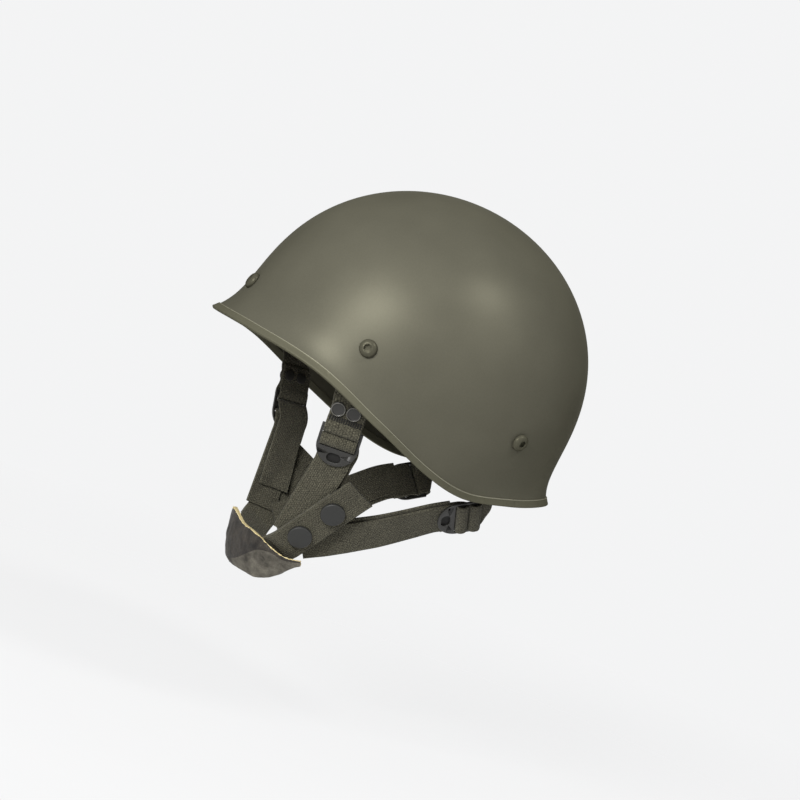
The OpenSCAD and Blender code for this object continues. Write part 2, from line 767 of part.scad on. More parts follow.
// Middle of the clamped end's inner face, and its upper run beside the bolt
function eyelet_place(b, drop) =
    bolt_place(b) - (hanger_depth + web_t) * bolt_axis(b) - drop * bolt_up(b);

side_bolt = bolts[1];
rear_bolt = bolts[3];

module hanger_rivet_holes(r) {
    on_front_bar()
        for (s = [-1, 1])
            translate([hanger_shift + s * hanger_rivet_pitch / 2, hanger_rivet_y, -4])
                cylinder(r = r, h = 12, $fn = 24);
}

module front_hanger() {
    start = cheek(front_strap_x + hanger_shift / 2, front_bar_y + fold_end - 2, web_t + 0.2);
    finish = eyelet_place(side_bolt, 6);
    end_across = unit(cross(bolt_axis(side_bolt), bolt_up(side_bolt)));
    color(webbing)
        difference() {
            union() {
                on_front_bar() hanger_eye(fold_close, fold_end);
                ribbon([
                    [start, -web_width * cheek_x, cheek_z],
                    [mix(start, finish, 0.3) - 0.4 * cheek_z, -(web_width - 1) * cheek_x, cheek_z],
                    [mix(start, finish, 0.7), (web_width - 4) * unit(mix(-cheek_x, end_across, 0.5)),
                        unit(mix(cheek_z, bolt_axis(side_bolt), 0.6))],
                    [finish, (web_width - 7) * end_across, bolt_axis(side_bolt)]], web_t);
                eyelet(side_bolt);
            }
            eyelet_hole(side_bolt);
            hanger_rivet_holes(1.6);
        }
}

module hanger_rivets() {
    color(black_metal)
        on_front_bar()
            for (s = [-1, 1])
                translate([hanger_shift + s * hanger_rivet_pitch / 2, hanger_rivet_y, 0]) {
                    translate([0, 0, 2 * web_t + 0.3])
                        rotate_extrude($fn = 36)
                            polygon([[0, 0], [hanger_rivet_d / 2, 0], [hanger_rivet_d / 2, 0.9],
                                [hanger_rivet_d / 2 - 0.5, 1.3], [hanger_rivet_d / 2 - 1, 1.3],
                                [hanger_rivet_d / 2 - 1.4, 0.9], [0, 0.9]]);
                    translate([0, 0, -0.9])
                        cylinder(d = 3, h = 2 * web_t + 1.4, $fn = 24);
                    translate([0, 0, -0.9])
                        cylinder(d = 8, h = 0.8, $fn = 32);
                }
}

// How far a point of the cheek lies above the line of the tab's upper edge, where the front
// strap bends into the tab's plane
function above_bend(p) = p[1] * cos(tab_angle) - p[0] * sin(tab_angle) - jaw_edge;
function bend_crossing(p, q) = mix(p, q, above_bend(p) / (above_bend(p) - above_bend(q)));
// A point of a layer at a height over the cheek, or over the tab's plane below the line
function bent_place(p, h) =
    let (b = above_bend(p), crease = (cheek_z + tab_out) / (1 + cheek_z * tab_out))
    abs(b) < on_line ? cheek(p[0], p[1], web_t) + (h - web_t) * crease
        : b > 0 ? cheek(p[0], p[1], h)
        : tab_place(p[0] * cos(tab_angle) + p[1] * sin(tab_angle), b + web_width / 2, h);

// A layer of the front strap, from its flat outline: down its front edge and up its rear edge
module bent_layer(outline, h) {
    corners = len(outline);
    points = [for (i = [0 : corners - 1])
        let (p = outline[i], q = outline[(i + 1) % corners])
        each above_bend(p) * above_bend(q) < 0 ? [p, bend_crossing(p, q)] : [p]];
    count = len(points);
    upper = [for (i = [0 : count - 1]) if (above_bend(points[i]) > -on_line) i];
    lower = [for (i = [0 : count - 1]) if (above_bend(points[i]) < on_line) i];
    skins = [for (part = [upper, lower])
        each [[for (k = [len(part) - 1 : -1 : 0]) part[k]], [for (i = part) i + count]]];
    walls = [for (i = [0 : count - 1])
        let (j = (i + 1) % count)
        each [[i, j, j + count], [i, j + count, i + count]]];
    polyhedron(concat([for (p = points) bent_place(p, h + web_t)], [for (p = points) bent_place(p, h)]),
        concat(skins, walls), convexity = 4);
}
// A point of a turned strap's edge, so far beside and below a place on the cheek
function strap_edge(place, turn, side, down) =
    place + side * [cos(turn), -sin(turn)] - down * [sin(turn), cos(turn)];

// Both layers of the front strap, below the buckle
module front_strap() {
    half = web_width / 2;
    top = front_bar_y - strap_start;
    kink = front_bar_y - buckle_length + kink_above;
    below = front_strap_length - buckle_length + kink_above;
    place = [front_strap_x + kink_shift, kink];
    tail = [front_strap_x + tail_shift, kink];
    turn = front_strap_turn;
    color(webbing) {
        bent_layer([[front_strap_x - half, top], [front_strap_x - half, kink],
            strap_edge(place, turn, -half, kink_above), strap_edge(place, turn, -half, below),
            strap_edge(place, turn, half, below), strap_edge(place, turn, half, kink_above),
            [front_strap_x + half, kink], [front_strap_x + half, top]], 0);
        bent_layer([strap_edge(tail, tail_turn, -half, -tail_top),
            strap_edge(tail, tail_turn, -half, tail_length), strap_edge(tail, tail_turn, half, tail_length),
            strap_edge(tail, tail_turn, half, -tail_top)], -web_t - layer_gap);
    }
}

// The tab's plane: X along it from the first press stud, Y across it, Z out of it
module along_tab() {
    on_cheek()
        rotate([0, 0, tab_angle])
            translate([0, jaw_edge, web_t])
                rotate([jaw_roll, 0, 0])
                    translate([0, -web_width / 2, -web_t])
                        children();
}
function tab_place(a, across, h) =
    let (down = across - web_width / 2,
        out = h - web_t,
        y = jaw_edge + down * cos(jaw_roll) - out * sin(jaw_roll),
        z = web_t + down * sin(jaw_roll) + out * cos(jaw_roll))
    cheek(a * cos(tab_angle) - y * sin(tab_angle), a * sin(tab_angle) + y * cos(tab_angle), z);
tab_out = tab_place(0, 0, 1) - tab_place(0, 0, 0);

// A layer of webbing along the tab, which turns inwards where it runs into the cup
function tab_layer(low, high, half, h) =
    let (line = concat([for (k = [0 : 4]) low + k / 4 * (-base_bend - low)], [high]),
        across = tab_place(0, 2 * half, 0) - tab_place(0, 0, 0))
    [for (a = line)
        let (drop = base_drop * pow(max(0, -a - base_bend) / (base_tail - base_bend), 1.3))
        [tab_place(a, 0, h - drop), across, tab_out]];

// The strap that carries the press studs and runs into the cup, with the tab's sewn root on it
module base_strap() {
    color(webbing) {
        ribbon(tab_layer(-base_tail, base_reach, web_width / 2, base_h), web_t);
        ribbon(tab_layer(-base_tail + 3, -tab_fold - fold_gap, tab_half, base_h + web_t - sewn_sink),
            web_t + layer_gap + sewn_sink);
    }
}

module press_studs() {
    color(black_metal)
        along_tab()
            for (x = [0, stud_pitch])
                translate([x, 0, base_h + web_t])
                    rotate_extrude($fn = 40)
                        polygon([[0, 0], [5.2, 0], [5.2, 0.2], [2, 0.25], [1.9, 0.9],
                            [post_d / 2, 1.3], [post_d / 2, 1.7], [post_d / 2 - 0.7, 2], [0, 2]]);
}

barrel_r = 4.6;

module tab() {
    color(webbing)
        along_tab()
            translate([0, 0, tab_h])
                difference() {
                    translate([-tab_fold, -tab_half, 0])
                        cube([tab_fold + tab_reach, 2 * tab_half, web_t]);
                    for (x = [0, stud_pitch])
                        translate([x, 0, -1])
                            cylinder(r = barrel_r + 0.1, h = web_t + 2, $fn = 40);
                }
}

module stud_caps() {
    socket_r = post_d / 2 + post_play;
    color(black_metal)
        along_tab()
            for (x = [0, stud_pitch])
                translate([x, 0, tab_h])
                    rotate_extrude($fn = 48)
                        polygon([[0, web_t + 0.4], [socket_r, web_t + 0.4], [socket_r, 0.1],
                            [barrel_r, 0.1], [barrel_r, web_t + 0.05], [cap_d / 2, web_t + 0.05],
                            [cap_d / 2, web_t + cap_h - 0.4], [cap_d / 2 - 0.5, web_t + cap_h],
                            [0, web_t + cap_h]]);
}

// The rear strap: straight under its buckle, then round the jaw to lie under the front strap
junction_h = -2 * web_t - 2 * layer_gap;
jaw_bulge = 2.5;
// Middle of the rear strap under the tab, along and across it: where it comes in and its end
strap_far = [8, -19];
strap_near = [-7, -9.8];
rear_tail_shift = 2;
function rear_strap_stations() =
    let (start = rear(0, buckle_middle - strap_start, 0),
        bend = rear(0, -buckle_middle - 4, 0),
        far = tab_place(strap_far[0], strap_far[1], junction_h),
        near = tab_place(strap_near[0], strap_near[1], junction_h),
        middle = mix(bend, far, 0.5) + jaw_bulge * unit(rear_out + tab_out),
        places = [start, mix(start, bend, 0.5), bend, mix(bend, middle, 0.5) + [0.5, 0, 0], middle,
            mix(middle, far, 0.5) + [0.6, 0, 0], far, mix(far, near, 0.5), near],
        turns = [0, 0, 0, 0.18, 0.45, 0.75, 1, 1, 1])
    [for (i = [0 : len(places) - 1])
        let (out = unit(mix(rear_out, tab_out, turns[i])),
            along = unit(clamped(places, i + 1) - clamped(places, i - 1)))
        [places[i], web_width * unit(cross(out, along)), out]];

function tail_stations() = [for (i = [0 : 6])
    let (s = rear_strap_stations()[i])
    [s[0] - (web_t + layer_gap) * s[2] - rear_tail_shift * unit(s[1]), s[1], s[2]]];

module rear_strap() {
    color(webbing) {
        ribbon(rear_strap_stations(), web_t);
        ribbon(tail_stations(), web_t);
    }
}

// The rear hanger turns up towards its bolt right behind the bar. Its edges there lie in the
// rear strap plane: lower edge across and along, then upper edge across and along.
hanger_turn = [[12.2, 16.5, -12.2, 16.5], [10.5, 19.2, -13, 17.5], [4.6, 22, -15.5, 17.5],
    [-5, 26, -18.5, 18.5]];
// Where it passes behind the rim: azimuth, share down the bowl and depth
hanger_pass = [123.5, 0.95, 8];

module rear_hanger() {
    axis = bolt_axis(rear_bolt);
    pass = bowl_inside(hanger_pass[0], hanger_pass[1], hanger_pass[2] + web_t);
    pass_axis = bowl_normal(hanger_pass[0], hanger_pass[1]);
    pass_up = bowl_up(hanger_pass[0], hanger_pass[1]);
    color(webbing)
        difference() {
            union() {
                on_rear_bar() hanger_eye(short_close, short_end);
                ribbon(concat(
                    [for (e = hanger_turn)
                        let (low = rear(e[0], e[1], web_t / 2), high = rear(e[2], e[3], web_t / 2))
                        [mix(low, high, 0.5), high - low, rear_out]],
                    [[pass, (web_width - 8) * cross(pass_axis, pass_up), pass_axis],
                        [eyelet_place(rear_bolt, 6), (web_width - 7) * unit(cross(axis, bolt_up(rear_bolt))),
                            axis]]), web_t);
                eyelet(rear_bolt);
            }
            eyelet_hole(rear_bolt);
        }
}

// The cup's outer face as a grid, from the right corner round the front to the left corner
function cup_line(row) =
    let (whole = concat([for (i = [6 : -1 : 1]) mirrored(row[i])], row)) smooth(whole, cup_steps);
cup_lines = [for (r = cup_rows) cup_line(r)];
cup_last = len(cup_lines[0]) - 1;
cup_down = (len(cup_rows) - 1) * cup_row_steps;
function cup_point(i, k) =
    let (r = min(floor(k / cup_row_steps), len(cup_rows) - 2), s = k / cup_row_steps - r)
    mix(cup_lines[r][i], cup_lines[r + 1][i], s);
function cup_out(i, k) =
    unit(cross(cup_point(i, min(k + 1, cup_down)) - cup_point(i, max(k - 1, 0)),
        cup_point(min(i + 1, cup_last), k) - cup_point(max(i - 1, 0), k)));

module chin_cup() {
    columns = cup_last + 1;
    count = columns * (cup_down + 1);
    function at(i, k) = k * columns + i;
    outer = [for (k = [0 : cup_down], i = [0 : cup_last]) cup_point(i, k)];
    inner = [for (k = [0 : cup_down], i = [0 : cup_last]) cup_point(i, k) - cup_t * cup_out(i, k)];
    skin = [for (i = [0 : cup_last - 1], k = [0 : cup_down - 1])
        each [[at(i, k), at(i + 1, k), at(i + 1, k + 1)], [at(i, k), at(i + 1, k + 1), at(i, k + 1)]]];
    back = [for (f = skin) [f[2] + count, f[1] + count, f[0] + count]];
    rims = [for (i = [0 : cup_last - 1])
        let (a = at(i, 0), b = at(i + 1, 0), c = at(i, cup_down), d = at(i + 1, cup_down))
        each [[a + count, b + count, b], [a + count, b, a], [c, d, d + count], [c, d + count, c + count]]];
    ends = [for (k = [0 : cup_down - 1])
        let (a = at(0, k), b = at(0, k + 1), c = at(cup_last, k), d = at(cup_last, k + 1))
        each [[a + count, a, b], [a + count, b, b + count], [c, c + count, d + count], [c, d + count, d]]];
    color(leather)
        polyhedron(concat(outer, inner), concat(skin, back, rims, ends), convexity = 8);
}

module right_side() {
    mirror([1, 0, 0]) children();
}

shell();
rim_strip();
shell_bolts();
bolt_washers();
bolt_nuts();
liner_brackets();
headband_ring();
headband_rivets();
sweatband();
crown_straps();
crown_pad();
front_hanger();  // left_front_hanger
right_side() front_hanger();  // right_front_hanger
hanger_rivets();  // left_hanger_rivets
right_side() hanger_rivets();  // right_hanger_rivets
on_front_bar() buckle();  // left_front_buckle
right_side() on_front_bar() buckle();  // right_front_buckle
on_front_bar() bar_loop();  // left_front_loop
right_side() on_front_bar() bar_loop();  // right_front_loop
front_strap();  // left_front_strap
right_side() front_strap();  // right_front_strap
base_strap();  // left_base_strap
right_side() base_strap();  // right_base_strap
press_studs();  // left_press_studs
right_side() press_studs();  // right_press_studs
tab();  // left_tab
right_side() tab();  // right_tab
stud_caps();  // left_stud_caps
right_side() stud_caps();  // right_stud_caps
rear_strap();  // left_rear_strap
right_side() rear_strap();  // right_rear_strap
on_rear_bar() buckle();  // left_rear_buckle
right_side() on_rear_bar() buckle();  // right_rear_buckle
on_rear_bar() bar_loop();  // left_rear_loop
right_side() on_rear_bar() bar_loop();  // right_rear_loop
rear_hanger();  // left_rear_hanger
right_side() rear_hanger();  // right_rear_hanger
chin_cup();
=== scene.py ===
# The looks of the paratrooper helmet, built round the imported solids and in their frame.
# The front is -Y, the wearer's left is +X and +Z is up. Sizes are in millimetres until a
# mesh is made, which turns them into metres.
import random
from math import (acos, atan2, copysign, cos, degrees, dist, exp, hypot, pi,
                  radians, sin, sqrt, tau)
import bpy
from mathutils import Matrix, Vector, noise


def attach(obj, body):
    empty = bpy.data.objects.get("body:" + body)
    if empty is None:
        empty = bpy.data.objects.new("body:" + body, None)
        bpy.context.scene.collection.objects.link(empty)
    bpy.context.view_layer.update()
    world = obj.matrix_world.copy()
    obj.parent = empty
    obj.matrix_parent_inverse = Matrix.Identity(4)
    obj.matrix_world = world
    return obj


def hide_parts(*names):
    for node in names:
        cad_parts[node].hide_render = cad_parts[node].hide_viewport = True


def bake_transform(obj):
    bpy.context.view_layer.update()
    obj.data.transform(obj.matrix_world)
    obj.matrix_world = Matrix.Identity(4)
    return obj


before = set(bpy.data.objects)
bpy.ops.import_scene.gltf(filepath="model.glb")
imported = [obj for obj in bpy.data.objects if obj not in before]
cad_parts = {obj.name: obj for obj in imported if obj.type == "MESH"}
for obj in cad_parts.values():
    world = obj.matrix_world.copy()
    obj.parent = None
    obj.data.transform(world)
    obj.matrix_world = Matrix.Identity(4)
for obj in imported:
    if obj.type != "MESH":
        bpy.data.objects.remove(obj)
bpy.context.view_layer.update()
scene = bpy.context.scene
random.seed(11)
MM = 0.001

# Camera of the photograph
CAMERA_PLACE = Vector((1642.35, -539.75, 73.54))
CAMERA_RIGHT = Vector((0.27563736, 0.90329052, 0.32877086))
CAMERA_UP = Vector((-0.15865394, -0.29457984, 0.94236492))
CAMERA_LENS = 108
SENSOR = 36
BACKGROUND = (0.9, 0.9027, 0.9072, 1)
FLOOR_Z = -290

# Steel bowl
HALF_LENGTH = 127
HALF_WIDTH = 116
CROWN = 117
WALL = 1.2
FLARE_FRONT = 23.2
FLARE_REAR = 27
FLARE_SIDE = 8
FLARE_FADE = 18
FRONT_FADE = 16.3
FLARE_START = radians(28.6)
RIM_HEIGHTS = (-12.5, -15.5, -25.7, -49.1, -69.3, -79.3, -76.1, -71.1, -71.1)
RIM_STEP = 22.5
STRIP_WIDTH = 5
STRIP_GAP = 0.12

# Harness
WEB_WIDTH = 25
WEB = 1.8
GAP = 0.3
BUCKLE_LENGTH = 27
BAR_PITCH = 9.2
BAR_H = WEB + GAP + 0.8
STUD_PITCH = 29.5
TAB_FOLD = 9
TAB_REACH = 54.5
TAB_ANGLE = radians(55)
JAW_EDGE = 13.1
JAW_ROLL = radians(15)
BARREL_R = 4.7

# Bolts that hold the hangers: azimuth and height
SIDE_BOLT = (56.9, -1.1)
REAR_BOLT = (121.4, -29.9)


def rgb(r, g, b):
    """A colour written as 0 to 255 display values, for a shader."""
    def one(c):
        c /= 255
        return c / 12.92 if c <= 0.04045 else ((c + 0.055) / 1.055) ** 2.4
    return (one(r), one(g), one(b), 1)


def mix(a, b, s):
    return a + (b - a) * s


def given(thing, **settings):
    """The thing with its settings made."""
    for key, value in settings.items():
        setattr(thing, key, value)
    return thing


def spline(a, b, c, d, s):
    return 0.5 * ((2 * b) + (c - a) * s + (2 * a - 5 * b + 4 * c - d) * s * s
                  + (3 * b - a - 3 * c + d) * s ** 3)


def way(line, i):
    """The line's direction at one of its points, from the points beside it."""
    return line[min(i + 1, len(line) - 1)] - line[max(i - 1, 0)]


def smooth(points, steps):
    """A smooth line through the points, with steps pieces between each two."""
    last = len(points) - 1
    line = []
    for i in range(last):
        near = [points[max(0, min(last, i + k))] for k in (-1, 0, 1, 2)]
        line += [spline(*near, k / steps) for k in range(steps)]
    return line + [points[last]]


def resampled(points, step):
    """The line cut into equal pieces of about one step, with the share of the way at each."""
    reach = [0]
    for a, b in zip(points, points[1:]):
        reach.append(reach[-1] + (b - a).length)
    count = max(2, round(reach[-1] / step))
    line, shares, k = [], [], 0
    for i in range(count + 1):
        at = reach[-1] * i / count
        while k < len(points) - 2 and reach[k + 1] < at:
            k += 1
        s = (at - reach[k]) / max(reach[k + 1] - reach[k], 1e-9)
        line.append(points[k].lerp(points[k + 1], min(1, s)))
        shares.append((k + s) / (len(points) - 1))
    return line, shares, reach[-1]


# The bowl's outer face


def rim_z(azimuth):
    a = abs(azimuth) % 360
    a = 360 - a if a > 180 else a
    i = int(a // RIM_STEP)
    def at(k):
        return RIM_HEIGHTS[-k if k < 0 else 16 - k if k > 8 else k]
    return spline(at(i - 1), at(i), at(i + 1), at(i + 2), a / RIM_STEP - i)


def rim_angle(azimuth):
    return acos(rim_z(azimuth) / CROWN)


def bowl(azimuth, down):
    """A point of the steel's outer face, from 0 at the crown to 1 at the rim."""
    zr = rim_z(azimuth)
    t = down * rim_angle(azimuth)
    z = CROWN * cos(t)
    phi = radians(azimuth)
    c, s = cos(phi), sin(phi)
    r = 1 / hypot(c / HALF_LENGTH, s / HALF_WIDTH)
    front = max(c, 0) ** 2
    flare = FLARE_FRONT * front + FLARE_REAR * max(-c, 0) ** 2 + FLARE_SIDE * (1 - c * c)
    fade = mix(FLARE_FADE, FRONT_FADE, front)
    rho = r * sin(t) + flare * exp((zr - z) / fade) * min(1, t / FLARE_START)
    return Vector((rho * s, -rho * c, z))


def bowl_normal(azimuth, down):
    u = max(down, 0.02)
    along = bowl(azimuth, u + 0.004) - bowl(azimuth, u - 0.004)
    round_it = bowl(azimuth + 0.5, u) - bowl(azimuth - 0.5, u)
    return along.cross(round_it).normalized()


def bowl_up(azimuth, down):
    return (bowl(azimuth, down - 0.004) - bowl(azimuth, down + 0.004)).normalized()


def share_at(azimuth, z):
    return acos(z / CROWN) / rim_angle(azimuth)


class Plane:
    """A flat working plane: x across the strap, y up it, h out of the head."""

    def __init__(self, place, x, y, out):
        self.place, self.x, self.y, self.out = place, x, y, out

    def at(self, x, y, h):
        return self.place + x * self.x + y * self.y + h * self.out

    def line(self, points, steps):
        """A smooth line across the bars, from points given as (y, h)."""
        return [self.at(*p) for p in smooth([Vector((0, y, h)) for y, h in points], steps)]

    def moved(self, x, y, turn=0):
        """The same plane with its origin moved and its axes turned in the plane."""
        c, s = cos(turn), sin(turn)
        return Plane(self.at(x, y, 0), c * self.x + s * self.y, c * self.y - s * self.x, self.out)

    def rolled(self, y, h, angle):
        """The same plane rolled about a line along its x, which gets those same places."""
        c, s = cos(angle), sin(angle)
        return Plane(self.at(0, y, h), self.x, c * self.y + s * self.out,
                     c * self.out - s * self.y)


def leaning(place, yaw, lean, turn=0):
    """A plane that faces left, turned to the front by yaw, leaned down and turned in itself."""
    yaw, lean, turn = radians(yaw), radians(lean), radians(turn)
    out = Vector((cos(lean) * cos(yaw), -cos(lean) * sin(yaw), -sin(lean)))
    flat = Vector((sin(yaw), cos(yaw), 0))
    x = cos(turn) * flat + sin(turn) * out.cross(flat)
    return Plane(Vector(place), x, out.cross(x), out)


CHEEK = leaning((49.8, -52.3, -142.2), 20, 15.5)
FRONT_BAR = CHEEK.moved(5.2, 84.8)
FLAT_TAB = CHEEK.moved(0, 0, TAB_ANGLE)
TAB = FLAT_TAB.rolled(JAW_EDGE, WEB, JAW_ROLL).moved(0, -WEB_WIDTH / 2)
TAB.place -= WEB * TAB.out
REAR = leaning((65.4, 45.6, -95.5), -15, 30.5, 30.5 - 90)
REAR_BAR = REAR.moved(0, BUCKLE_LENGTH / 2)


# Node graphs


def grey(v):
    return (v, v, v, 1)


def shade(colour, share, more=0):
    """A colour made darker or lighter."""
    return tuple(min(1, c * share + more) for c in colour[:3]) + (1,)


class Graph:
    """A material's or a world's nodes, written as short calls."""

    names = {"base": "Base Color", "specular": "Specular IOR Level", "sheen": "Sheen Weight"}

    def __init__(self, owner):
        owner.use_nodes = True
        self.owner, self.tree = owner, owner.node_tree
        self.output = next(n for n in self.tree.nodes if n.name.endswith("Output"))
        self.shader = self.output.inputs["Surface"].links[0].from_node

    def node(self, kind, inputs=None, **settings):
        n = given(self.tree.nodes.new("ShaderNode" + kind), **settings)
        for key, value in (inputs or {}).items():
            self.put(n.inputs[key], value)
        return n

    def put(self, socket, value):
        if isinstance(value, bpy.types.NodeSocket):
            self.tree.links.new(value, socket)
        else:
            socket.default_value = value

    def math(self, operation, a, b=0.0):
        return self.node("Math", {0: a, 1: b}, operation=operation).outputs[0]

    def times(self, a, b):
        return self.math("MULTIPLY", a, b)

    def scaled(self, vector, by):
        return self.node("VectorMath", {0: vector, 1: by}, operation="MULTIPLY").outputs[0]

    def place(self):
        """The surface's place in millimetres, which moves with the piece."""
        return self.scaled(self.node("TexCoord").outputs["Object"], (1000, 1000, 1000))

    def noise(self, vector, size, detail=3.0, roughness=0.55, out="Fac"):
        """Noise from 0 to 1 whose lumps are about that many millimetres."""
        return self.node("TexNoise", {"Vector": vector, "Scale": 1 / size, "Detail": detail,
                                      "Roughness": roughness}).outputs[out]

    def pushed(self, vector, size, by):
        """The same places, pushed about by noise."""
        return self.node("VectorMath", {0: self.noise(vector, size, 2, 0.5, "Color"), 1: by,
                                        2: vector}, operation="MULTIPLY_ADD").outputs[0]

    def ramp(self, factor, *stops):
        n = self.node("ValToRGB", {"Fac": factor})
        ramp = n.color_ramp
        while len(ramp.elements) < len(stops):
            ramp.elements.new(0.5)
        for element, (at, colour) in zip(ramp.elements, stops):
            element.position = at
            element.color = colour
        return n.outputs["Color"]

    def mask(self, factor, low, high, dark=0, light=1):
        """Greys from dark at low to light at high."""
        return self.ramp(factor, (low, grey(dark)), (high, grey(light)))

    def blend(self, factor, a, b, kind="MIX"):
        return self.node("Mix", {0: factor, 6: a, 7: b}, data_type="RGBA",
                         blend_type=kind).outputs[2]

    def bump(self, height, distance, normal=None):
        n = self.node("Bump", {"Height": height, "Distance": distance * MM})
        if normal is not None:
            self.put(n.inputs["Normal"], normal)
        return n.outputs["Normal"]

    def seen(self):
        """1 for the rays that see the backdrop."""
        rays = self.node("LightPath").outputs
        share = self.math("MAXIMUM", rays["Is Camera Ray"], rays["Is Glossy Ray"])
        return self.math("MAXIMUM", share, rays["Is Transmission Ray"])

    def mixed(self, share, a, b):
        return self.node("MixShader", {0: share, 1: a.outputs[0], 2: b.outputs[0]})

    def show(self, shader):
        self.put(self.output.inputs["Surface"], shader.outputs[0])

    def finish(self, **sockets):
        for key, value in sockets.items():
            name = self.names.get(key, key.replace("_", " ").title())
            self.put(self.shader.inputs[name], value)
        return self.owner


M = {}


def material(name):
    M[name] = bpy.data.materials.new(name)
    return Graph(M[name])


def paint_material(name, colour, roughness, grain, wear):
    """Sprayed matt paint: fine orange peel, faint clouds and a few rubbed spots."""
    g = material(name)
    at = g.place()
    clouds, fine = g.noise(at, 60, 2), g.noise(at, 1.1, 2)
    base = g.ramp(clouds, (0.3, shade(colour, 0.93)), (0.7, shade(colour, 1.07)))
    base = g.blend(g.times(fine, 0.16), base, grey(0.02))
    marks = g.mask(g.noise(at, 3.2, 6, 0.7), 0.64, 0.72)
    rub = g.mask(g.noise(at, 30, 2), 0.5, 0.75)
    base = g.blend(g.times(g.times(marks, rub), wear), base, shade(colour, 1.9))
    rough = g.mask(clouds, 0.3, 0.7, roughness - 0.03, roughness + 0.04)
    normal = g.bump(g.noise(at, 7, 3), grain * 2, g.bump(fine, grain))
    # A metal share with a dark edge tint: soft sheen, and no bright rim against the backdrop
    return g.finish(base=base, roughness=rough, specular=0.0, metallic=0.21,
                    specular_tint=grey(0.22), normal=normal)


def webbing_material(name, dark, light, pick=1.9, column=1.45):
    """Woven webbing: rows of warp floats, each a small lens, with heathered yarn and fuzz."""
    g = material(name)
    uv = g.node("TexCoord").outputs["UV"]
    place = g.pushed(uv, 1 / 0.9, (0.4, 0.4, 0))
    part = g.node("SeparateXYZ", {0: place}).outputs
    row = g.math("DIVIDE", part[1], column)
    shift = g.times(g.math("FLOORED_MODULO", g.math("FLOOR", row), 2.0), 0.5)
    turn = g.times(g.math("ADD", g.math("DIVIDE", part[0], pick), shift), pi)
    lens = g.math("ABSOLUTE", g.math("SINE", turn))
    ridge = g.math("ABSOLUTE", g.math("SINE", g.times(row, pi)))
    height = g.times(g.math("POWER", lens, 0.6), g.math("POWER", ridge, 0.5))
    middle = tuple(mix(a, b, 0.5) for a, b in zip(dark, light))
    base = g.ramp(g.noise(place, 1.25, 4, 0.75), (0.33, dark), (0.5, middle), (0.68, light))
    soiled = g.mask(g.noise(uv, 1 / 0.07, 2, 0.5), 0.35, 0.65, 0.8)
    base = g.blend(0.8, base, soiled, "MULTIPLY")
    # painted shade: the weave's hollows darkened by its height
    base = g.blend(0.9, base, g.mask(height, 0.0, 0.6, 0.25), "MULTIPLY")
    relief = g.math("ADD", height, g.times(g.noise(place, 1 / 6, 2, 0.5), 0.35))
    return g.finish(base=base, roughness=0.88, specular=0.15, sheen=0.15, sheen_roughness=0.5,
                    normal=g.bump(relief, 0.42))


def thread_material(name, colour):
    g = material(name)
    at = g.place()
    base = g.ramp(g.noise(at, 0.4, 2), (0.3, shade(colour, 0.7)), (0.7, colour))
    return g.finish(base=base, roughness=0.7, specular=0.3, sheen=0.2,
                    normal=g.bump(g.noise(at, 0.25, 2), 0.06))


def metal_material(name, colour, roughness, metallic=0.0, wear=0.3):
    """Blackened or plated steel with small scratches and a little rub."""
    g = material(name)
    at = g.place()
    fine = g.noise(at, 0.7, 4, 0.65)
    lines = g.noise(g.scaled(at, (0.25, 3.0, 0.25)), 1.2, 5, 0.75)
    base = g.blend(g.times(g.mask(lines, 0.66, 0.78), wear), colour, shade(colour, 2.1, 0.01))
    base = g.blend(g.times(fine, 0.25), base, shade(colour, 0.6))
    rough = g.mask(fine, 0.2, 0.8, roughness - 0.08, roughness + 0.1)
    return g.finish(base=base, roughness=rough, metallic=metallic, normal=g.bump(fine, 0.025))


def leather_material(name, dark, light, grain=0.9, roughness=0.55, scuffs=0.5):
    """Grained leather: pebbles with fine creases between, clouds of tone and scuffs."""
    g = material(name)
    at = g.place()
    cells = g.node("TexVoronoi", {"Vector": g.pushed(at, 2, (0.8, 0.8, 0.8)),
                                  "Scale": 1 / grain}, feature="DISTANCE_TO_EDGE")
    pebble = g.mask(cells.outputs["Distance"], 0.0, 0.22)
    base = g.ramp(g.noise(at, 9, 4, 0.6), (0.32, dark), (0.68, light))
    # painted shade: darker in the creases between the pebbles
    base = g.blend(g.times(g.math("SUBTRACT", 1.0, pebble), 0.4), base, shade(dark, 0.45))
    streaks = g.mask(g.noise(g.scaled(at, (0.3, 0.3, 1.6)), 1.3, 5, 0.7), 0.58, 0.75)
    patch = g.mask(g.noise(at, 14, 2), 0.5, 0.62)
    base = g.blend(g.times(g.times(streaks, patch), scuffs), base, shade(light, 2.6))
    relief = g.math("ADD", pebble, g.times(g.noise(at, 3.5, 4), 1.6))
    return g.finish(base=base, roughness=roughness, specular=0.35, normal=g.bump(relief, 0.14))


def fibre_material(name, fibre, stops, roughness, specular, relief):
    """A fibrous surface: the cut edge of leather, or moulded board."""
    g = material(name)
    fibres = g.noise(g.place(), *fibre)
    return g.finish(base=g.ramp(fibres, *stops), roughness=roughness, specular=specular,
                    normal=g.bump(fibres, relief))


def foam_material(name):
    g = material(name)
    cells = g.node("TexVoronoi", {"Vector": g.place(), "Scale": 0.9}).outputs["Distance"]
    base = g.blend(0.7, rgb(46, 46, 44), g.mask(cells, 0.1, 0.45, 0.35), "MULTIPLY")
    return g.finish(base=base, roughness=0.92, specular=0.15, normal=g.bump(cells, 0.35))


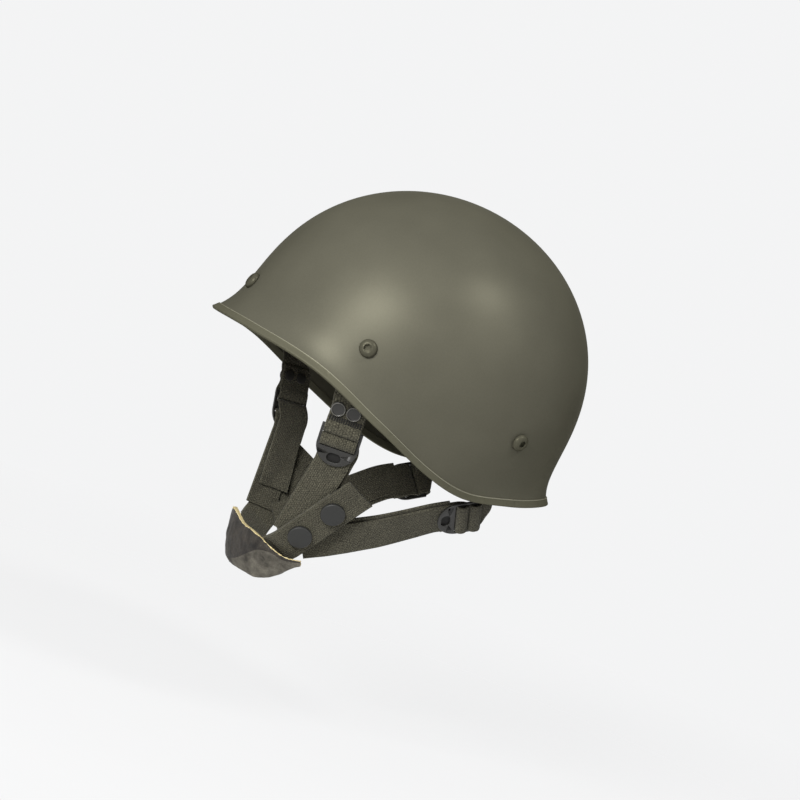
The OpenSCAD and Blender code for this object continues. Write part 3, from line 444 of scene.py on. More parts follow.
paint_material("olive_paint", rgb(108, 106, 92), 0.4, 0.02, 0.12)
paint_material("strip_paint", rgb(109, 107, 90), 0.45, 0.025, 0.2)
paint_material("bolt_paint", rgb(92, 90, 76), 0.32, 0.03, 0.5)
# painted highlight with worn paint: the light line along the rim strip's upper edge
paint_material("strip_edge_highlight", rgb(160, 157, 138), 0.4, 0.02, 0.4)
webbing_material("webbing", rgb(56, 54, 45), rgb(130, 126, 107))
webbing_material("liner_webbing", rgb(80, 78, 62), rgb(140, 136, 110), 2.2, 1.7)
thread_material("thread", rgb(74, 72, 60))
thread_material("dark_thread", rgb(34, 33, 29))
# painted shade: near black for the dark inside the buckles' thumb holes
thread_material("painted_hole_shade", rgb(30, 29, 27))
# painted highlight: light metal rings on the rivets' raised rims
metal_material("rivet_rim_highlight", rgb(120, 118, 112), 0.35, 0.6, 0.6)
metal_material("cap_steel", rgb(46, 46, 44), 0.5, 0.0, 0.15)
metal_material("black_steel", rgb(50, 49, 46), 0.42)
metal_material("zinc_steel", rgb(150, 149, 144), 0.38, 0.9, 0.2)
leather_material("cup_leather", rgb(26, 23, 20), rgb(76, 70, 62))
leather_material("cup_leather_low", rgb(68, 64, 57), rgb(138, 133, 120), 0.8, 0.7, 0.3)
leather_material("cup_suede", rgb(120, 98, 66), rgb(158, 134, 94), 0.5, 0.9, 0.0)
fibre_material("raw_edge", (0.8, 5, 0.7),
               ((0.25, rgb(120, 94, 52)), (0.45, rgb(236, 214, 156)), (0.7, rgb(252, 242, 200))),
               0.9, 0.15, 0.25)
leather_material("sweat_leather", rgb(98, 66, 38), rgb(138, 98, 60), 0.7, 0.45, 0.2)
foam_material("foam_rubber")
fibre_material("fibre_board", (1.6, 6, 0.75),
               ((0.3, rgb(38, 37, 30)), (0.7, rgb(62, 60, 49))), 0.7, 0.3, 0.12)


# Meshes


def linked(name, data):
    thing = bpy.data.objects.new(name, data)
    scene.collection.objects.link(thing)
    return thing


def side_of(name):
    """Pieces are built on the left, and those named for the right are mirrored."""
    return -1 if name.startswith("right_") else 1


def sided(v, thing):
    return Vector((side_of(thing.name) * v[0], v[1], v[2])) * MM


def facing(thing, axis):
    return given(thing, rotation_mode="QUATERNION",
                 rotation_quaternion=Vector(axis).to_track_quat("Z", "Y"))


def smoothed(mesh, sharp):
    mesh.polygons.foreach_set("use_smooth", [True] * len(mesh.polygons))
    mesh.set_sharp_from_angle(angle=radians(sharp))


def make(name, verts, faces, materials, uvs=None, face_materials=None, sharp=50):
    """A smooth shaded mesh object from points in millimetres."""
    side = side_of(name)
    mesh = bpy.data.meshes.new(name)
    mesh.from_pydata([(side * v[0] * MM, v[1] * MM, v[2] * MM) for v in verts], [],
                     [f[::side] for f in faces])
    for key in materials:
        mesh.materials.append(M[key])
    if uvs:
        layer = mesh.uv_layers.new(name="UVMap")
        for polygon, corners in zip(mesh.polygons, uvs):
            for loop, uv in zip(polygon.loop_indices, corners[::side]):
                layer.data[loop].uv = uv
    if face_materials:
        mesh.polygons.foreach_set("material_index", face_materials)
    smoothed(mesh, sharp)
    mesh.update()
    return linked(name, mesh)


def placed(thing, body, replaced=()):
    """Rides on a body, and hides the nodes that it stands for."""
    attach(thing, body)
    if replaced:
        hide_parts(*replaced)


def bent(thing, replaced, start, end):
    """Webbing between two bodies: hides the nodes that it stands for and bakes its transform into
    its points. The two points are worked out and not used.
    """
    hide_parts(*replaced)
    sided(start, thing)
    sided(end, thing)
    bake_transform(thing)


def ring_faces(rows, n, closed=True, inward=False, first=0):
    """Faces between rows of n points each, round every row and from row to row."""
    faces = []
    for j in range(rows if closed else rows - 1):
        a, b = first + j * n, first + (j + 1) % rows * n
        for k in range(n):
            l = (k + 1) % n
            faces.append((a + k, b + k, b + l, a + l) if inward else
                         (a + k, a + l, b + l, b + k))
    return faces


def web_profile(width, thick):
    """Cross-section of webbing as (across, out), counterclockwise, with soft selvedges."""
    r = thick * 0.42
    half, h = width / 2, thick / 2
    top = [(s * (half - r), h * (1 + 0.05 * (1 - s * s))) for s in
           [1 - k / 5 for k in range(11)]]
    def corner(sx, sy, *angles):
        return [(sx * (half - r) + r * cos(a), sy * (h - r) + r * sin(a))
                for a in map(radians, angles)]
    return ([(-x, -y) for x, y in top] + corner(1, -1, -67, -45, -22) + [(half, 0)]
            + corner(1, 1, 22.5, 45, 67.5) + top + corner(-1, 1, 113, 135, 158) + [(-half, 0)]
            + corner(-1, -1, 202.5, 225, 247.5))


RAGGED = 0.07


def webbing(path, across, width=WEB_WIDTH, thick=WEB, step=0.7, slack=0.0, skewed=False):
    """Points, faces and texture places of a length of webbing.
    path runs down the middle of its thickness. across is a vector or one for each point of
    the path, and out of the strap is the path's direction turned across it. width is a size
    or one for each point."""
    many = isinstance(across, list)
    line, shares, length = resampled(path, step)
    last, count = len(path) - 1, len(line)
    verts = []
    for i, (c, share) in enumerate(zip(line, shares)):
        k = min(int(share * last), last - 1)
        s = share * last - k
        w = across[k].lerp(across[k + 1], s) if many else Vector(across)
        size = mix(width[k], width[k + 1], s) if isinstance(width, list) else width
        along = way(line, i).normalized()
        w = w.normalized() if skewed else (w - w.dot(along) * along).normalized()
        out = along.cross(w).normalized()
        wave = slack * noise.noise(Vector((i * step / 17, size, path[0].x)))
        for x, y in web_profile(size, thick):
            edge = abs(x) / (size / 2)
            fray = RAGGED * (random.random() - 0.5) * max(0, edge * 6 - 5)
            verts.append(c + (x + copysign(fray, x)) * w + (y + wave * (x / size)) * out)
    around = [0.0]
    profile = web_profile(width[0] if isinstance(width, list) else width, thick)
    ring = len(profile)
    for a, b in zip(profile, profile[1:] + profile[:1]):
        around.append(around[-1] + dist(a, b))
    faces, uvs = ring_faces(count, ring, closed=False), []
    for i in range(count - 1):
        u0, u1 = length * i / (count - 1), length * (i + 1) / (count - 1)
        uvs += [((u0, around[k]), (u0, around[k + 1]), (u1, around[k + 1]), (u1, around[k]))
                for k in range(ring)]
    for start, order in ((0, range(ring - 1, -1, -1)), ((count - 1) * ring, range(ring))):
        faces.append(tuple(start + k for k in order))
        uvs.append(tuple((0.4 * profile[k][1], around[k]) for k in order))
    return verts, faces, uvs


def woven(name, parts, key="webbing"):
    return make(name, *parts[:2], [key], uvs=parts[2])


def join(*parts):
    """One set of points, faces and texture places from several."""
    verts, faces, uvs = [], [], []
    for v, f, u in parts:
        faces += [tuple(k + len(verts) for k in face) for face in f]
        verts += v
        uvs += u
    return verts, faces, uvs


# Rings of points along one stitch: place along it and size
STITCH = ((-0.5, 0.15), (-0.32, 0.8), (0, 1), (0.32, 0.8), (0.5, 0.15))
STITCH_SIDES = 6


def sewn(name, lines, body, key="thread", pitch=2.6, length=1.9, radius=0.24):
    """Short threads lying along lines. Each line is two ends and the way out of the strap."""
    verts, faces = [], []
    sides, tail = STITCH_SIDES, (len(STITCH) - 1) * STITCH_SIDES
    for a, b, out in lines:
        along = b - a
        count = max(1, round(along.length / pitch))
        along.normalize()
        side = along.cross(out).normalized()
        gap = (b - a).length / count
        for i in range(count):
            middle = a + along * (gap * (i + 0.5))
            first = len(verts)
            for t, size in STITCH:
                sink = (1 - size) * radius * 1.4
                for k in range(sides):
                    turn = tau * k / sides
                    verts.append(middle + along * (t * length)
                                 + side * (radius * size * cos(turn))
                                 + out * (radius * size * sin(turn) - sink))
            faces += ring_faces(len(STITCH), sides, closed=False, first=first)
            faces.append(tuple(first + k for k in range(sides - 1, -1, -1)))
            faces.append(tuple(first + tail + k for k in range(sides)))
    placed(make(name, verts, faces, [key], sharp=80), body)


def cad_finish(nodes, key, bevel, segments=2):
    """A better material and softened edges for carried over solids."""
    for name in nodes:
        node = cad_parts[name]
        node.data.materials.clear()
        node.data.materials.append(M[key])
        given(node.modifiers.new("weld", "WELD"), merge_threshold=0.00001)
        given(node.modifiers.new("soft", "BEVEL"), width=bevel * MM, segments=segments,
              limit_method="ANGLE", angle_limit=radians(35), harden_normals=True)
        smoothed(node.data, 35)


# Bowl and rim strip

COLUMNS = 180
ROWS = 60
STRIP_T = 0.7
WELD_PITCH = 31
WELD_RISE = 2.7
WELD_R = 1.9
WELD_DEPTH = 0.25
RIM_COUNT = 1100


def dish(rows, columns, tops, point):
    """A double skin round the crown: its two points on the axis, then point(i, j, inner)."""
    verts = tops + [point(i, j, inner) for inner in (False, True) for i in range(1, rows + 1)
                    for j in range(columns)]
    start = [2 + r * columns for r in range(2 * rows)]
    faces = []
    for j in range(columns):
        n = (j + 1) % columns
        faces += [(0, start[0] + j, start[0] + n), (1, start[rows] + n, start[rows] + j)]
        for i in range(rows - 1):
            a, b = start[i], start[i + 1]
            faces.append((a + j, b + j, b + n, a + n))
            a, b = start[rows + i], start[rows + i + 1]
            faces.append((a + n, b + n, b + j, a + j))
        a, b = start[rows - 1], start[-1]
        faces.append((a + n, a + j, b + j, b + n))
    return verts, faces


def steel_bowl():
    def point(i, j, inner):
        a, down = j * 360 / COLUMNS, 1 - (1 - i / ROWS) ** 1.25
        return bowl(a, down) - WALL * bowl_normal(a, down) if inner else bowl(a, down)
    tops = [Vector((0, 0, CROWN)), Vector((0, 0, CROWN - WALL))]
    thing = make("steel_bowl", *dish(ROWS, COLUMNS, tops, point), ["olive_paint"], sharp=60)
    placed(thing, "root", ["shell"])


def rim_strip():
    """A rolled channel with a rounded edge, a thin upper edge painted light as a highlight and as
    worn paint, and spot weld dimples.
    """
    near, far = STRIP_GAP, STRIP_GAP + STRIP_T
    back = -WALL - far
    mid, top = WALL / 2, STRIP_WIDTH
    roll = [(-far * sin(radians(a)) ** 0.7, (mid + far) * cos(radians(a)) - mid)
            for a in range(15, 180, 15)]
    # Rise above the edge and place out of the steel
    profile = ([(top, far - 0.25), (top - 0.12, far), (top - 0.55, far + 0.02),
                (top - 0.8, far - 0.1), (3.6, far - 0.06), (2.6, far - 0.06), (1.6, far - 0.06),
                (0.7, far), (0, far)] + roll
               + [(0, back), (2.6, back), (top - 0.25, back), (top, back + 0.25),
                  (top, -WALL - near), (0.2, -WALL - near), (0.2, near), (top, near)])
    n = len(profile)
    # the upper edge's faces take the light paint: painted highlight and worn paint
    bright = n - 1, 0, 1
    verts, reach, before = [], 0, bowl(0, 1)
    for j in range(RIM_COUNT):
        a = j * 360 / RIM_COUNT
        edge = bowl(a, 1)
        up = (bowl(a, 0.985) - edge).normalized()
        reach += (edge - before).length
        before = edge
        out, out_above = bowl_normal(a, 1), bowl_normal(a, 0.97)
        near_weld = abs((reach + WELD_PITCH / 2) % WELD_PITCH - WELD_PITCH / 2)
        for rise, off in profile:
            s = max(0, min(1, rise / STRIP_WIDTH))
            normal = out.lerp(out_above, s * 0.8).normalized()
            dent = 0
            if off > near + 0.1 and rise > 0:
                d = hypot(near_weld, rise - WELD_RISE)
                dent = WELD_DEPTH * max(0, 1 - (d / WELD_R) ** 2)
            verts.append(edge + up * rise + (off - dent) * normal)
    thing = make("rolled_rim_strip", verts, ring_faces(RIM_COUNT, n),
                 ["strip_paint", "strip_edge_highlight"], sharp=42,
                 face_materials=[int(k in bright) for k in range(n)] * RIM_COUNT)
    placed(thing, "root", ["rim_strip"])


# Harness. A loop of webbing round a bar is flattened a little, so that the next one lies close

LOOP_Y = 3.72
LOOP_H = 3.0
LOOP_WIDTH = 25.6
OUTER_H = WEB + 0.2 + WEB / 2
INNER_H = -WEB / 2 - GAP
# From the steel's outer face to the middle of an eyelet behind it
EYELET_DEPTH = WALL + 0.12 + 15 ** 2 / (5 * HALF_WIDTH) + 1 + 0.12 + WEB / 2


def loop_ring(y, start, end, step):
    """Points round a bar at y, from one angle to another; 0 is out of the strap."""
    return [(y + LOOP_Y * sin(radians(a)), BAR_H + LOOP_H * cos(radians(a)))
            for a in range(start, end, step)]


# Over the middle bar of a buckle and back under it, as (y, h)
MIDDLE = -BAR_PITCH
MIDDLE_LOOP = ([(MIDDLE - 6.0, WEB / 2 + 0.1), (MIDDLE - 4.3, 1.5)]
               + loop_ring(MIDDLE, -90, 91, 22) + [(MIDDLE + 2.8, 0.6), (MIDDLE - 0.5, -0.7)])


def bolt_frame(bolt):
    """A bolt's place on the steel, the way out and up there, and the middle of its eyelet."""
    azimuth, z = bolt
    down = share_at(azimuth, z)
    place, out = bowl(azimuth, down), bowl_normal(azimuth, down)
    return place, out, bowl_up(azimuth, down), place - EYELET_DEPTH * out


def eased(points, across, width):
    """A smooth line with its cross directions and widths."""
    sizes = smooth([Vector((w, 0, 0)) for w in width], 6)
    return smooth(points, 6), smooth(across, 6), [v.x for v in sizes]


def front_hanger():
    """From under its bolt down to the buckle's top bar, round it and back up."""
    plane = FRONT_BAR
    place, out, up, eye = bolt_frame(SIDE_BOLT)
    right = up.cross(out)
    leave, start = plane.at(-1.2, 28, OUTER_H), plane.at(-0.9, 22, OUTER_H)
    points = [eye + 9 * up, eye + 3 * up, eye - 3 * up, eye - 9 * up,
              mix(eye - 9 * up, leave, 0.5) + 0.6 * out, leave, start]
    across = [right] * 4 + [mix(right, plane.x, 0.5), mix(right, plane.x, 0.9), plane.x]
    line, turned, sizes = eased(points, across, [18.5, 18.5, 18.5, 19.5, 22, 24.4, 25])
    loop = plane.line([(18, OUTER_H), (13, OUTER_H), (8, OUTER_H), (5.8, 4.0), (3.2, 5.5)]
                      + loop_ring(0, 10, -181, -20) + [(3.2, 0.1), (6, 0.85), (21.2, 0.95)], 4)
    sizes += [WEB_WIDTH] * 8 + [LOOP_WIDTH] * (len(loop) - 8)
    return webbing(line + loop, turned + [plane.x] * len(loop), sizes, WEB * 0.94)


# The rear hanger's turn in the rear strap's plane: lower edge, then upper edge
REAR_TURN = ((12.2, 16.5, -12.2, 16.5), (10.5, 19.2, -13, 17.5), (4.6, 22, -15.5, 17.5),
             (-5, 26, -18.5, 18.5))
REAR_PASS = (123.5, 0.95)


def rear_hanger():
    """From under its bolt past the rim, with a turn down to the rear buckle's bar."""
    _, out, up, eye = bolt_frame(REAR_BOLT)
    axis, right = bowl_normal(*REAR_PASS), out.cross(up)
    passing = bowl(*REAR_PASS) - (8 + WEB / 2) * axis
    points = [eye + 9 * up, eye + 3 * up, eye - 5 * up, passing]
    across = [right, right, right, axis.cross(bowl_up(*REAR_PASS))]
    width = [18, 18, 18, 17.5]
    for a, b, c, d in reversed(REAR_TURN):
        low, high = REAR.at(a, b, WEB), REAR.at(c, d, WEB)
        points.append(mix(low, high, 0.5))
        across.append((high - low).normalized())
        width.append((high - low).length)
    line, turned, sizes = eased(points, across, width)
    # A small step out of the way, so that the eye's outer layer lies on the turn
    eye_path = REAR_BAR.line([(4.6, WEB + 0.3), (3.4, 4.6), (2.2, 5.7)]
                             + loop_ring(0, 10, -181, -20) + [(2.6, 0.2), (4.8, 0.8)], 4)
    return join(webbing(line, turned, sizes, WEB * 0.94, skewed=True),
                webbing(eye_path, REAR_BAR.x, LOOP_WIDTH, WEB * 0.94))


KINK = 22
FRONT_TURN = radians(12)
TAIL_TURN = radians(9)
JAW_SOFT = 2.0


def jaw_bent(p):
    """A point of the front strap, moved into the tab's plane below the tab's upper edge line."""
    d = p - CHEEK.place
    flat = Vector((d.dot(FLAT_TAB.x), d.dot(FLAT_TAB.y), d.dot(FLAT_TAB.out)))
    below = JAW_EDGE - flat.y
    if below < -JAW_SOFT:
        return p
    s = min(1, (below + JAW_SOFT) / (2 * JAW_SOFT))
    s = s * s * (3 - 2 * s)
    return p.lerp(TAB.at(flat.x, WEB_WIDTH / 2 - below, flat.z), s)


def front_strap():
    """The strap that comes up, goes over the middle bar and hangs down again."""
    def low(shift, turn, down, h):
        return (shift - sin(turn) * down, -KINK - cos(turn) * down, h)
    path = [low(0.8, FRONT_TURN, d, WEB / 2) for d in (66, 44, 24, 10, 5)]
    path += [(0.1, -KINK + 1, WEB / 2), (0, -KINK + 3.5, WEB / 2)]
    path += [(x, *p) for x, p in zip([0] * (len(MIDDLE_LOOP) - 2) + [0.2, 0.6], MIDDLE_LOOP)]
    path += [low(2.2, TAIL_TURN, d, INNER_H) for d in (-6.5, 0, 16, 34, 50)]
    line = smooth([Vector(p) for p in path], 5)
    sizes = [LOOP_WIDTH if p.y > MIDDLE - 6 and p.z > -1 else WEB_WIDTH for p in line]
    verts, faces, uvs = webbing([FRONT_BAR.at(*p) for p in line], [-FRONT_BAR.x] * len(line),
                                sizes, WEB * 0.92)
    return [jaw_bent(v) for v in verts], faces, uvs


RIVET_PLACES = (-7.1, 3.9)
RIVET_Y = 14.1
RIVET_TOP = 2 * WEB + 0.3 + 1.2
RIVET_R = 5.3 - 0.62
# The rows of the dark thread that closes the fold between the rivets and the bar, as (y, h)
FOLD_ROWS = ((8.5, 3.95), (7.8, 4.1), (7.1, 4.4), (6.4, 4.8), (5.7, 5.25))


def front_side(side):
    bar = FRONT_BAR
    bent(woven(side + "front_webbing", front_strap()), [side + "front_strap", side + "front_loop"],
         bar.at(0, -24, 0), bar.at(0, -10, 0))
    place, _, up, _ = bolt_frame(SIDE_BOLT)
    bent(woven(side + "front_hanger_webbing", front_hanger()), [side + "front_hanger"],
         place - 9 * up, bar.at(0, 21, 0))
    lines = [(bar.at(-11.8, y, h), bar.at(11.8, y, h), bar.out) for y, h in FOLD_ROWS]
    sewn(side + "hanger_stitches", lines, "harness", "dark_thread", 1.7, 1.8, 0.42)
    # The light rings on the rivets' rims are a painted highlight
    verts, faces, _ = join(*[torus(bar.at(x, RIVET_Y, RIVET_TOP), bar, RIVET_R, 0.34)
                             for x in RIVET_PLACES])
    placed(make(side + "rivet_rings", verts, faces, ["rivet_rim_highlight"], sharp=80), "harness")
    under_hole(side + "front", bar, "harness")


def torus(middle, plane, radius, tube, around=48, section=8):
    """A ring in a plane."""
    verts = []
    for i in range(around):
        a = tau * i / around
        side = cos(a) * plane.x + sin(a) * plane.y
        for k in range(section):
            b = tau * k / section
            verts.append(middle + side * (radius + tube * cos(b)) + plane.out * tube * sin(b))
    return verts, ring_faces(around, section, inward=True), []


# The middle of a buckle's thumb hole, from its top bar
HOLE_Y = -BAR_PITCH - 1.6 - WEB - 1.7 - 3.6 - 3.25
HOLE_POINTS = 40


def under_hole(name, plane, body):
    """A near black patch under a buckle's thumb hole: painted shade for the dark inside the hole.
    """
    count = HOLE_POINTS
    verts = [plane.at(0, HOLE_Y, WEB + 0.16)]
    for h in (WEB + 0.1, WEB - 0.4):
        for i in range(count):
            a = tau * i / count
            verts.append(plane.at(6.6 * cos(a), HOLE_Y + 4.6 * sin(a), h))
    after = [(i + 1) % count for i in range(count)]
    faces = [(0, 1 + i, 1 + n) for i, n in enumerate(after)]
    faces += [(1 + n, 1 + i, 1 + count + i, 1 + count + n) for i, n in enumerate(after)]
    placed(make(name + "_grime", verts, faces, ["painted_hole_shade"]), body)


# Height of the tab's middle, and the half widths of its end rows and of the sewn root
TAB_H = 2 * WEB + GAP + WEB / 2
TAB_WIDTH = 25.3
ROW_END = 11.4
ROOT_EDGE = 11.2


def strap_point(a, b, layers):
    """A point on a layer of the base strap, which drops away behind the chin cup's edge."""
    return TAB.at(a, b, layers - 3.2 * (max(0, -a - 12) / 10) ** 1.3)


def tab_side(side):
    """The peeling tab, the strap under it with its sewn root, and their stitches."""
    path = [TAB.at(a, 0, TAB_H) for a in (-TAB_FOLD, 0, 15, 30, 44)]
    path += [TAB.at(50, 0, TAB_H + 0.15), TAB.at(TAB_REACH, 0, TAB_H + 0.45)]
    tab = woven(side + "tab_webbing", webbing(smooth(path, 3), TAB.y, TAB_WIDTH))
    for k in (0, 1):
        bored(tab, TAB.at(k * STUD_PITCH, 0, TAB_H), TAB.out)
    placed(tab, side + "tab", [side + "tab"])
    face = TAB_H + WEB / 2 + 0.05
    lines = [(TAB.at(a, -ROW_END, face), TAB.at(a, ROW_END, face), TAB.out) for a in (43, 46)]
    sewn(side + "tab_stitches", lines, side + "tab")
    base = [strap_point(a, 0, WEB * 1.5) for a in
            (37, 20, 0, -9, -12, -14, -17, -20, -22, -26, -30)]
    root = [strap_point(a, 0, WEB * 2.5 + 0.1) for a in
            (-TAB_FOLD - 0.3, -11, -13, -15, -17, -19)]
    parts = join(webbing(smooth(base, 3), -TAB.y),
                 webbing(smooth(root, 3), -TAB.y, TAB_WIDTH, WEB * 1.1))
    placed(woven(side + "base_webbing", parts), "harness", [side + "base_strap"])
    w = ROOT_EDGE
    lines = [(strap_point(a, b, WEB * 3.05 + 0.1), strap_point(c, d, WEB * 3.05 + 0.1), TAB.out)
             for a, b, c, d in ((-11, -w, -11, w), (-11, w, -18, w), (-18, -w, -18, w),
                                (-11, -w, -18, -w), (-11, -w, -18, w))]
    sewn(side + "root_stitches", lines, "harness")


def bored(thing, place, axis):
    """Cuts a stud's hole through a piece and keeps the result as its mesh."""
    bpy.ops.mesh.primitive_cylinder_add(vertices=48, radius=BARREL_R * MM, depth=8 * MM,
                                        location=sided(place, thing))
    cutter = facing(bpy.context.object, sided(axis, thing))
    given(thing.modifiers.new("bore", "BOOLEAN"), operation="DIFFERENCE", solver="EXACT",
          object=cutter)
    bpy.context.view_layer.update()
    whole = bpy.data.meshes.new_from_object(thing.evaluated_get(
        bpy.context.evaluated_depsgraph_get()))
    thing.modifiers.clear()
    thing.data = whole
    bpy.data.objects.remove(cutter)


def rear_strap_line():
    """Middle line of the rear strap from under its buckle to the junction, with its cross
    directions and its outward directions."""
    junction = -2 * WEB - 2 * GAP
    half = BUCKLE_LENGTH / 2
    start, bend = REAR.at(0, half - 5.6, 0), REAR.at(0, -half - 4, 0)
    far, near = TAB.at(8, -19, junction), TAB.at(-7, -9.8, junction)
    middle = mix(bend, far, 0.5) + 2.5 * (REAR.out + TAB.out).normalized()
    places = [start, mix(start, bend, 0.5), bend, mix(bend, middle, 0.5) + Vector((0.5, 0, 0)),
              middle, mix(middle, far, 0.5) + Vector((0.6, 0, 0)), far, mix(far, near, 0.5), near]
    turns = (0, 0, 0, 0.18, 0.45, 0.75, 1, 1, 1)
    line, across, outs = [], [], []
    for i, (p, t) in enumerate(zip(places, turns)):
        out = mix(REAR.out, TAB.out, t).normalized()
        line.append(p + WEB / 2 * out)
        across.append(out.cross(way(places, i).normalized()))
        outs.append(out)
    return line, across, outs


def rear_side(side):
    line, across, outs = rear_strap_line()
    strap = webbing(smooth(line, 6)[6:], smooth(across, 6)[6:], WEB_WIDTH, WEB * 0.94, slack=0.5)
    tail = [p - (WEB + GAP) * o - 2.4 * w for p, o, w in zip(line[1:7], outs[1:7], across[1:7])]
    tail = webbing(smooth(tail, 6), smooth(across[1:7], 6), WEB_WIDTH, WEB * 0.9)
    bent(woven(side + "rear_webbing", join(strap, tail)), [side + "rear_strap"],
         REAR.at(0, -18, 0), TAB.at(2, -15, 0))
    points = [(-24, WEB / 2), (-18, WEB / 2), *MIDDLE_LOOP, (MIDDLE - 4, INNER_H), (-24, INNER_H)]
    loop = webbing(REAR_BAR.line(points, 5), -REAR_BAR.x, LOOP_WIDTH, WEB * 0.92)
    bent(woven(side + "rear_loop_webbing", loop), [side + "rear_loop"],
         REAR_BAR.at(0, -24, 0), REAR_BAR.at(0, -10, 0))
    under_hole(side + "rear", REAR_BAR, "root")
    placed(woven(side + "rear_hanger_webbing", rear_hanger()), "root",
           [side + "rear_hanger"])


# Chin cup: edge lines from its front to its left corner, top edge first

CUP_ROWS = (
    ((0, -90.5, -143), (18, -86, -149.5), (31, -81.5, -151), (39.5, -76, -153), (46, -68, -157),
     (51, -58, -160), (55.5, -47.5, -159)),
    ((0, -89, -163), (18, -85, -162), (31, -81, -159.5), (40, -76, -157.8), (46.5, -68.5, -159),
     (51.2, -58, -161.3), (55.5, -47.4, -159.8)),
    ((0, -84, -179), (18, -82, -175), (31.5, -78.5, -167), (40, -75, -162), (46.6, -68, -160.8),
     (51.2, -57.6, -162.6), (55.4, -47.2, -160.6)),
    ((0, -80, -182.5), (17, -75.5, -182.5), (29, -68, -183), (38, -61, -179), (46, -54, -171),
     (51.5, -50.5, -166), (55.2, -46.9, -162)),
    ((0, -58, -184), (12, -57, -183.6), (19, -55.5, -182.2), (26, -53, -178.8), (35, -50, -173),
     (44, -47.5, -167), (53.6, -45.8, -162.8)))
CUP_T = 2.2
CUP_STEPS = 14
CUP_DOWN = 10
CREASE_ROW = 1 + 2 * CUP_DOWN
# The cup's materials, by place
UPPER, UNDER, INSIDE, RAW = range(4)


def cup_grid():
    """Rows of points from the cup's top edge to the end of its underside, corner to corner."""
    lines = [smooth([Vector((-x, y, z)) for x, y, z in row[:0:-1]] + [Vector(p) for p in row],
                    CUP_STEPS) for row in CUP_ROWS]
    # The raw band: a ragged line close under the top edge
    band = []
    for top, below in zip(*lines[:2]):
        down = below - top
        wide = 0.6 + 0.6 * noise.noise(top / 2.3) + 1.1 * exp(-(top.x / 11) ** 2)
        band.append(top + down * min(0.5, wide / max(down.length, 0.1)))
    grid = [lines[0], band]
    for upper, lower in zip([band] + lines[1:], lines[1:]):
        grid += [[a.lerp(b, k / CUP_DOWN) for a, b in zip(upper, lower)]
                 for k in range(1, CUP_DOWN)]
        grid.append(lower)
    return grid


def chin_cup():
    """Folded leather with a raw pale edge, wrinkles in the upper panel and a crisp crease."""
    grid = cup_grid()
    downwards = list(zip(*grid))
    rows, columns = len(grid), len(downwards)
    outer, inner = [], []
    for k, row in enumerate(grid):
        for i, p in enumerate(row):
            n = way(downwards[i], k).cross(way(row, i)).normalized()
            calm = min(1, abs(k - CREASE_ROW) / 4) * min(1, k / 3, (columns - 1 - i) / 5, i / 5)
            wave = 0.35 * noise.noise(p / 9) + 0.2 * noise.noise(p / 3.5)
            if k < CREASE_ROW:
                wave += 0.5 * noise.noise(Vector((p.x / 2.4, p.y / 2.4, p.z / 14)))
            ragged = 0.35 * noise.noise(p / 1.7) if k == 0 else 0
            outer.append(p + wave * calm * n + Vector((0, 0, ragged)))
            inner.append(p - CUP_T * n + wave * calm * 0.6 * n + Vector((0, 0, ragged)))
    count = len(outer)
    faces, which = [], []
    def at(i, k):
        return k * columns + i
    def closed(a, b):
        faces.append((a, b, b + count, a + count))
        which.append(RAW)
    for i in range(columns - 1):
        for k in range(rows - 1):
            a, b, c, d = at(i, k), at(i + 1, k), at(i + 1, k + 1), at(i, k + 1)
            faces += [(a, d, c, b), (a + count, b + count, c + count, d + count)]
            which += [RAW if k == 0 else UNDER if k >= CREASE_ROW else UPPER, INSIDE]
        closed(at(i, 0), at(i + 1, 0))
        closed(at(i + 1, rows - 1), at(i, rows - 1))
    for k in range(rows - 1):
        closed(at(0, k + 1), at(0, k))
        closed(at(columns - 1, k), at(columns - 1, k + 1))
    thing = make("leather_chin_cup", outer + inner, faces,
                 ["cup_leather", "cup_leather_low", "cup_suede", "raw_edge"],
                 face_materials=which, sharp=38)
    placed(thing, "harness", ["chin_cup"])


# Liner: the headband ring's level plane, as in the solids

RING_WIDTH = 82.5
RING_LENGTH = 101
RING_T = 1.4
RING_Z = -8.5
RING_TILT = radians(12.7)
RING_SEAT = 0.6
SWEAT_T = 2.4
SWEAT_HEIGHT = 36
SWEAT_COLUMNS = 200
SEAM_COUNT = 60
STRAP_AZIMUTHS = (30, 90, 150)
STRAP_EDGE = 8
STRAP_RISE = 88
STRAP_LAYER = 1.6
STRAP_THICK = 1.4
STRAP_WIDE = 19
STRAP_END = 18
PAD_ANGLE = 25
PAD_T = 10
PAD_GAP = 0.5
PAD_COLUMNS = 96
PAD_ROWS = 16


def ring_point(x, y, z):
    c, s = cos(RING_TILT), sin(RING_TILT)
    return Vector((x, y * c + z * s, RING_Z - y * s + z * c))


def ring_radius(azimuth, grow):
    a = radians(azimuth)
    return 1 / hypot(cos(a) / (RING_LENGTH + grow), sin(a) / (RING_WIDTH + grow))


def ring_level(azimuth, grow, z, share=1):
    """A place above or below the ring's line, or a share of the way out to it."""
    r, a = ring_radius(azimuth, grow) * share, radians(azimuth)
    return ring_point(r * sin(a), -r * cos(a), z)


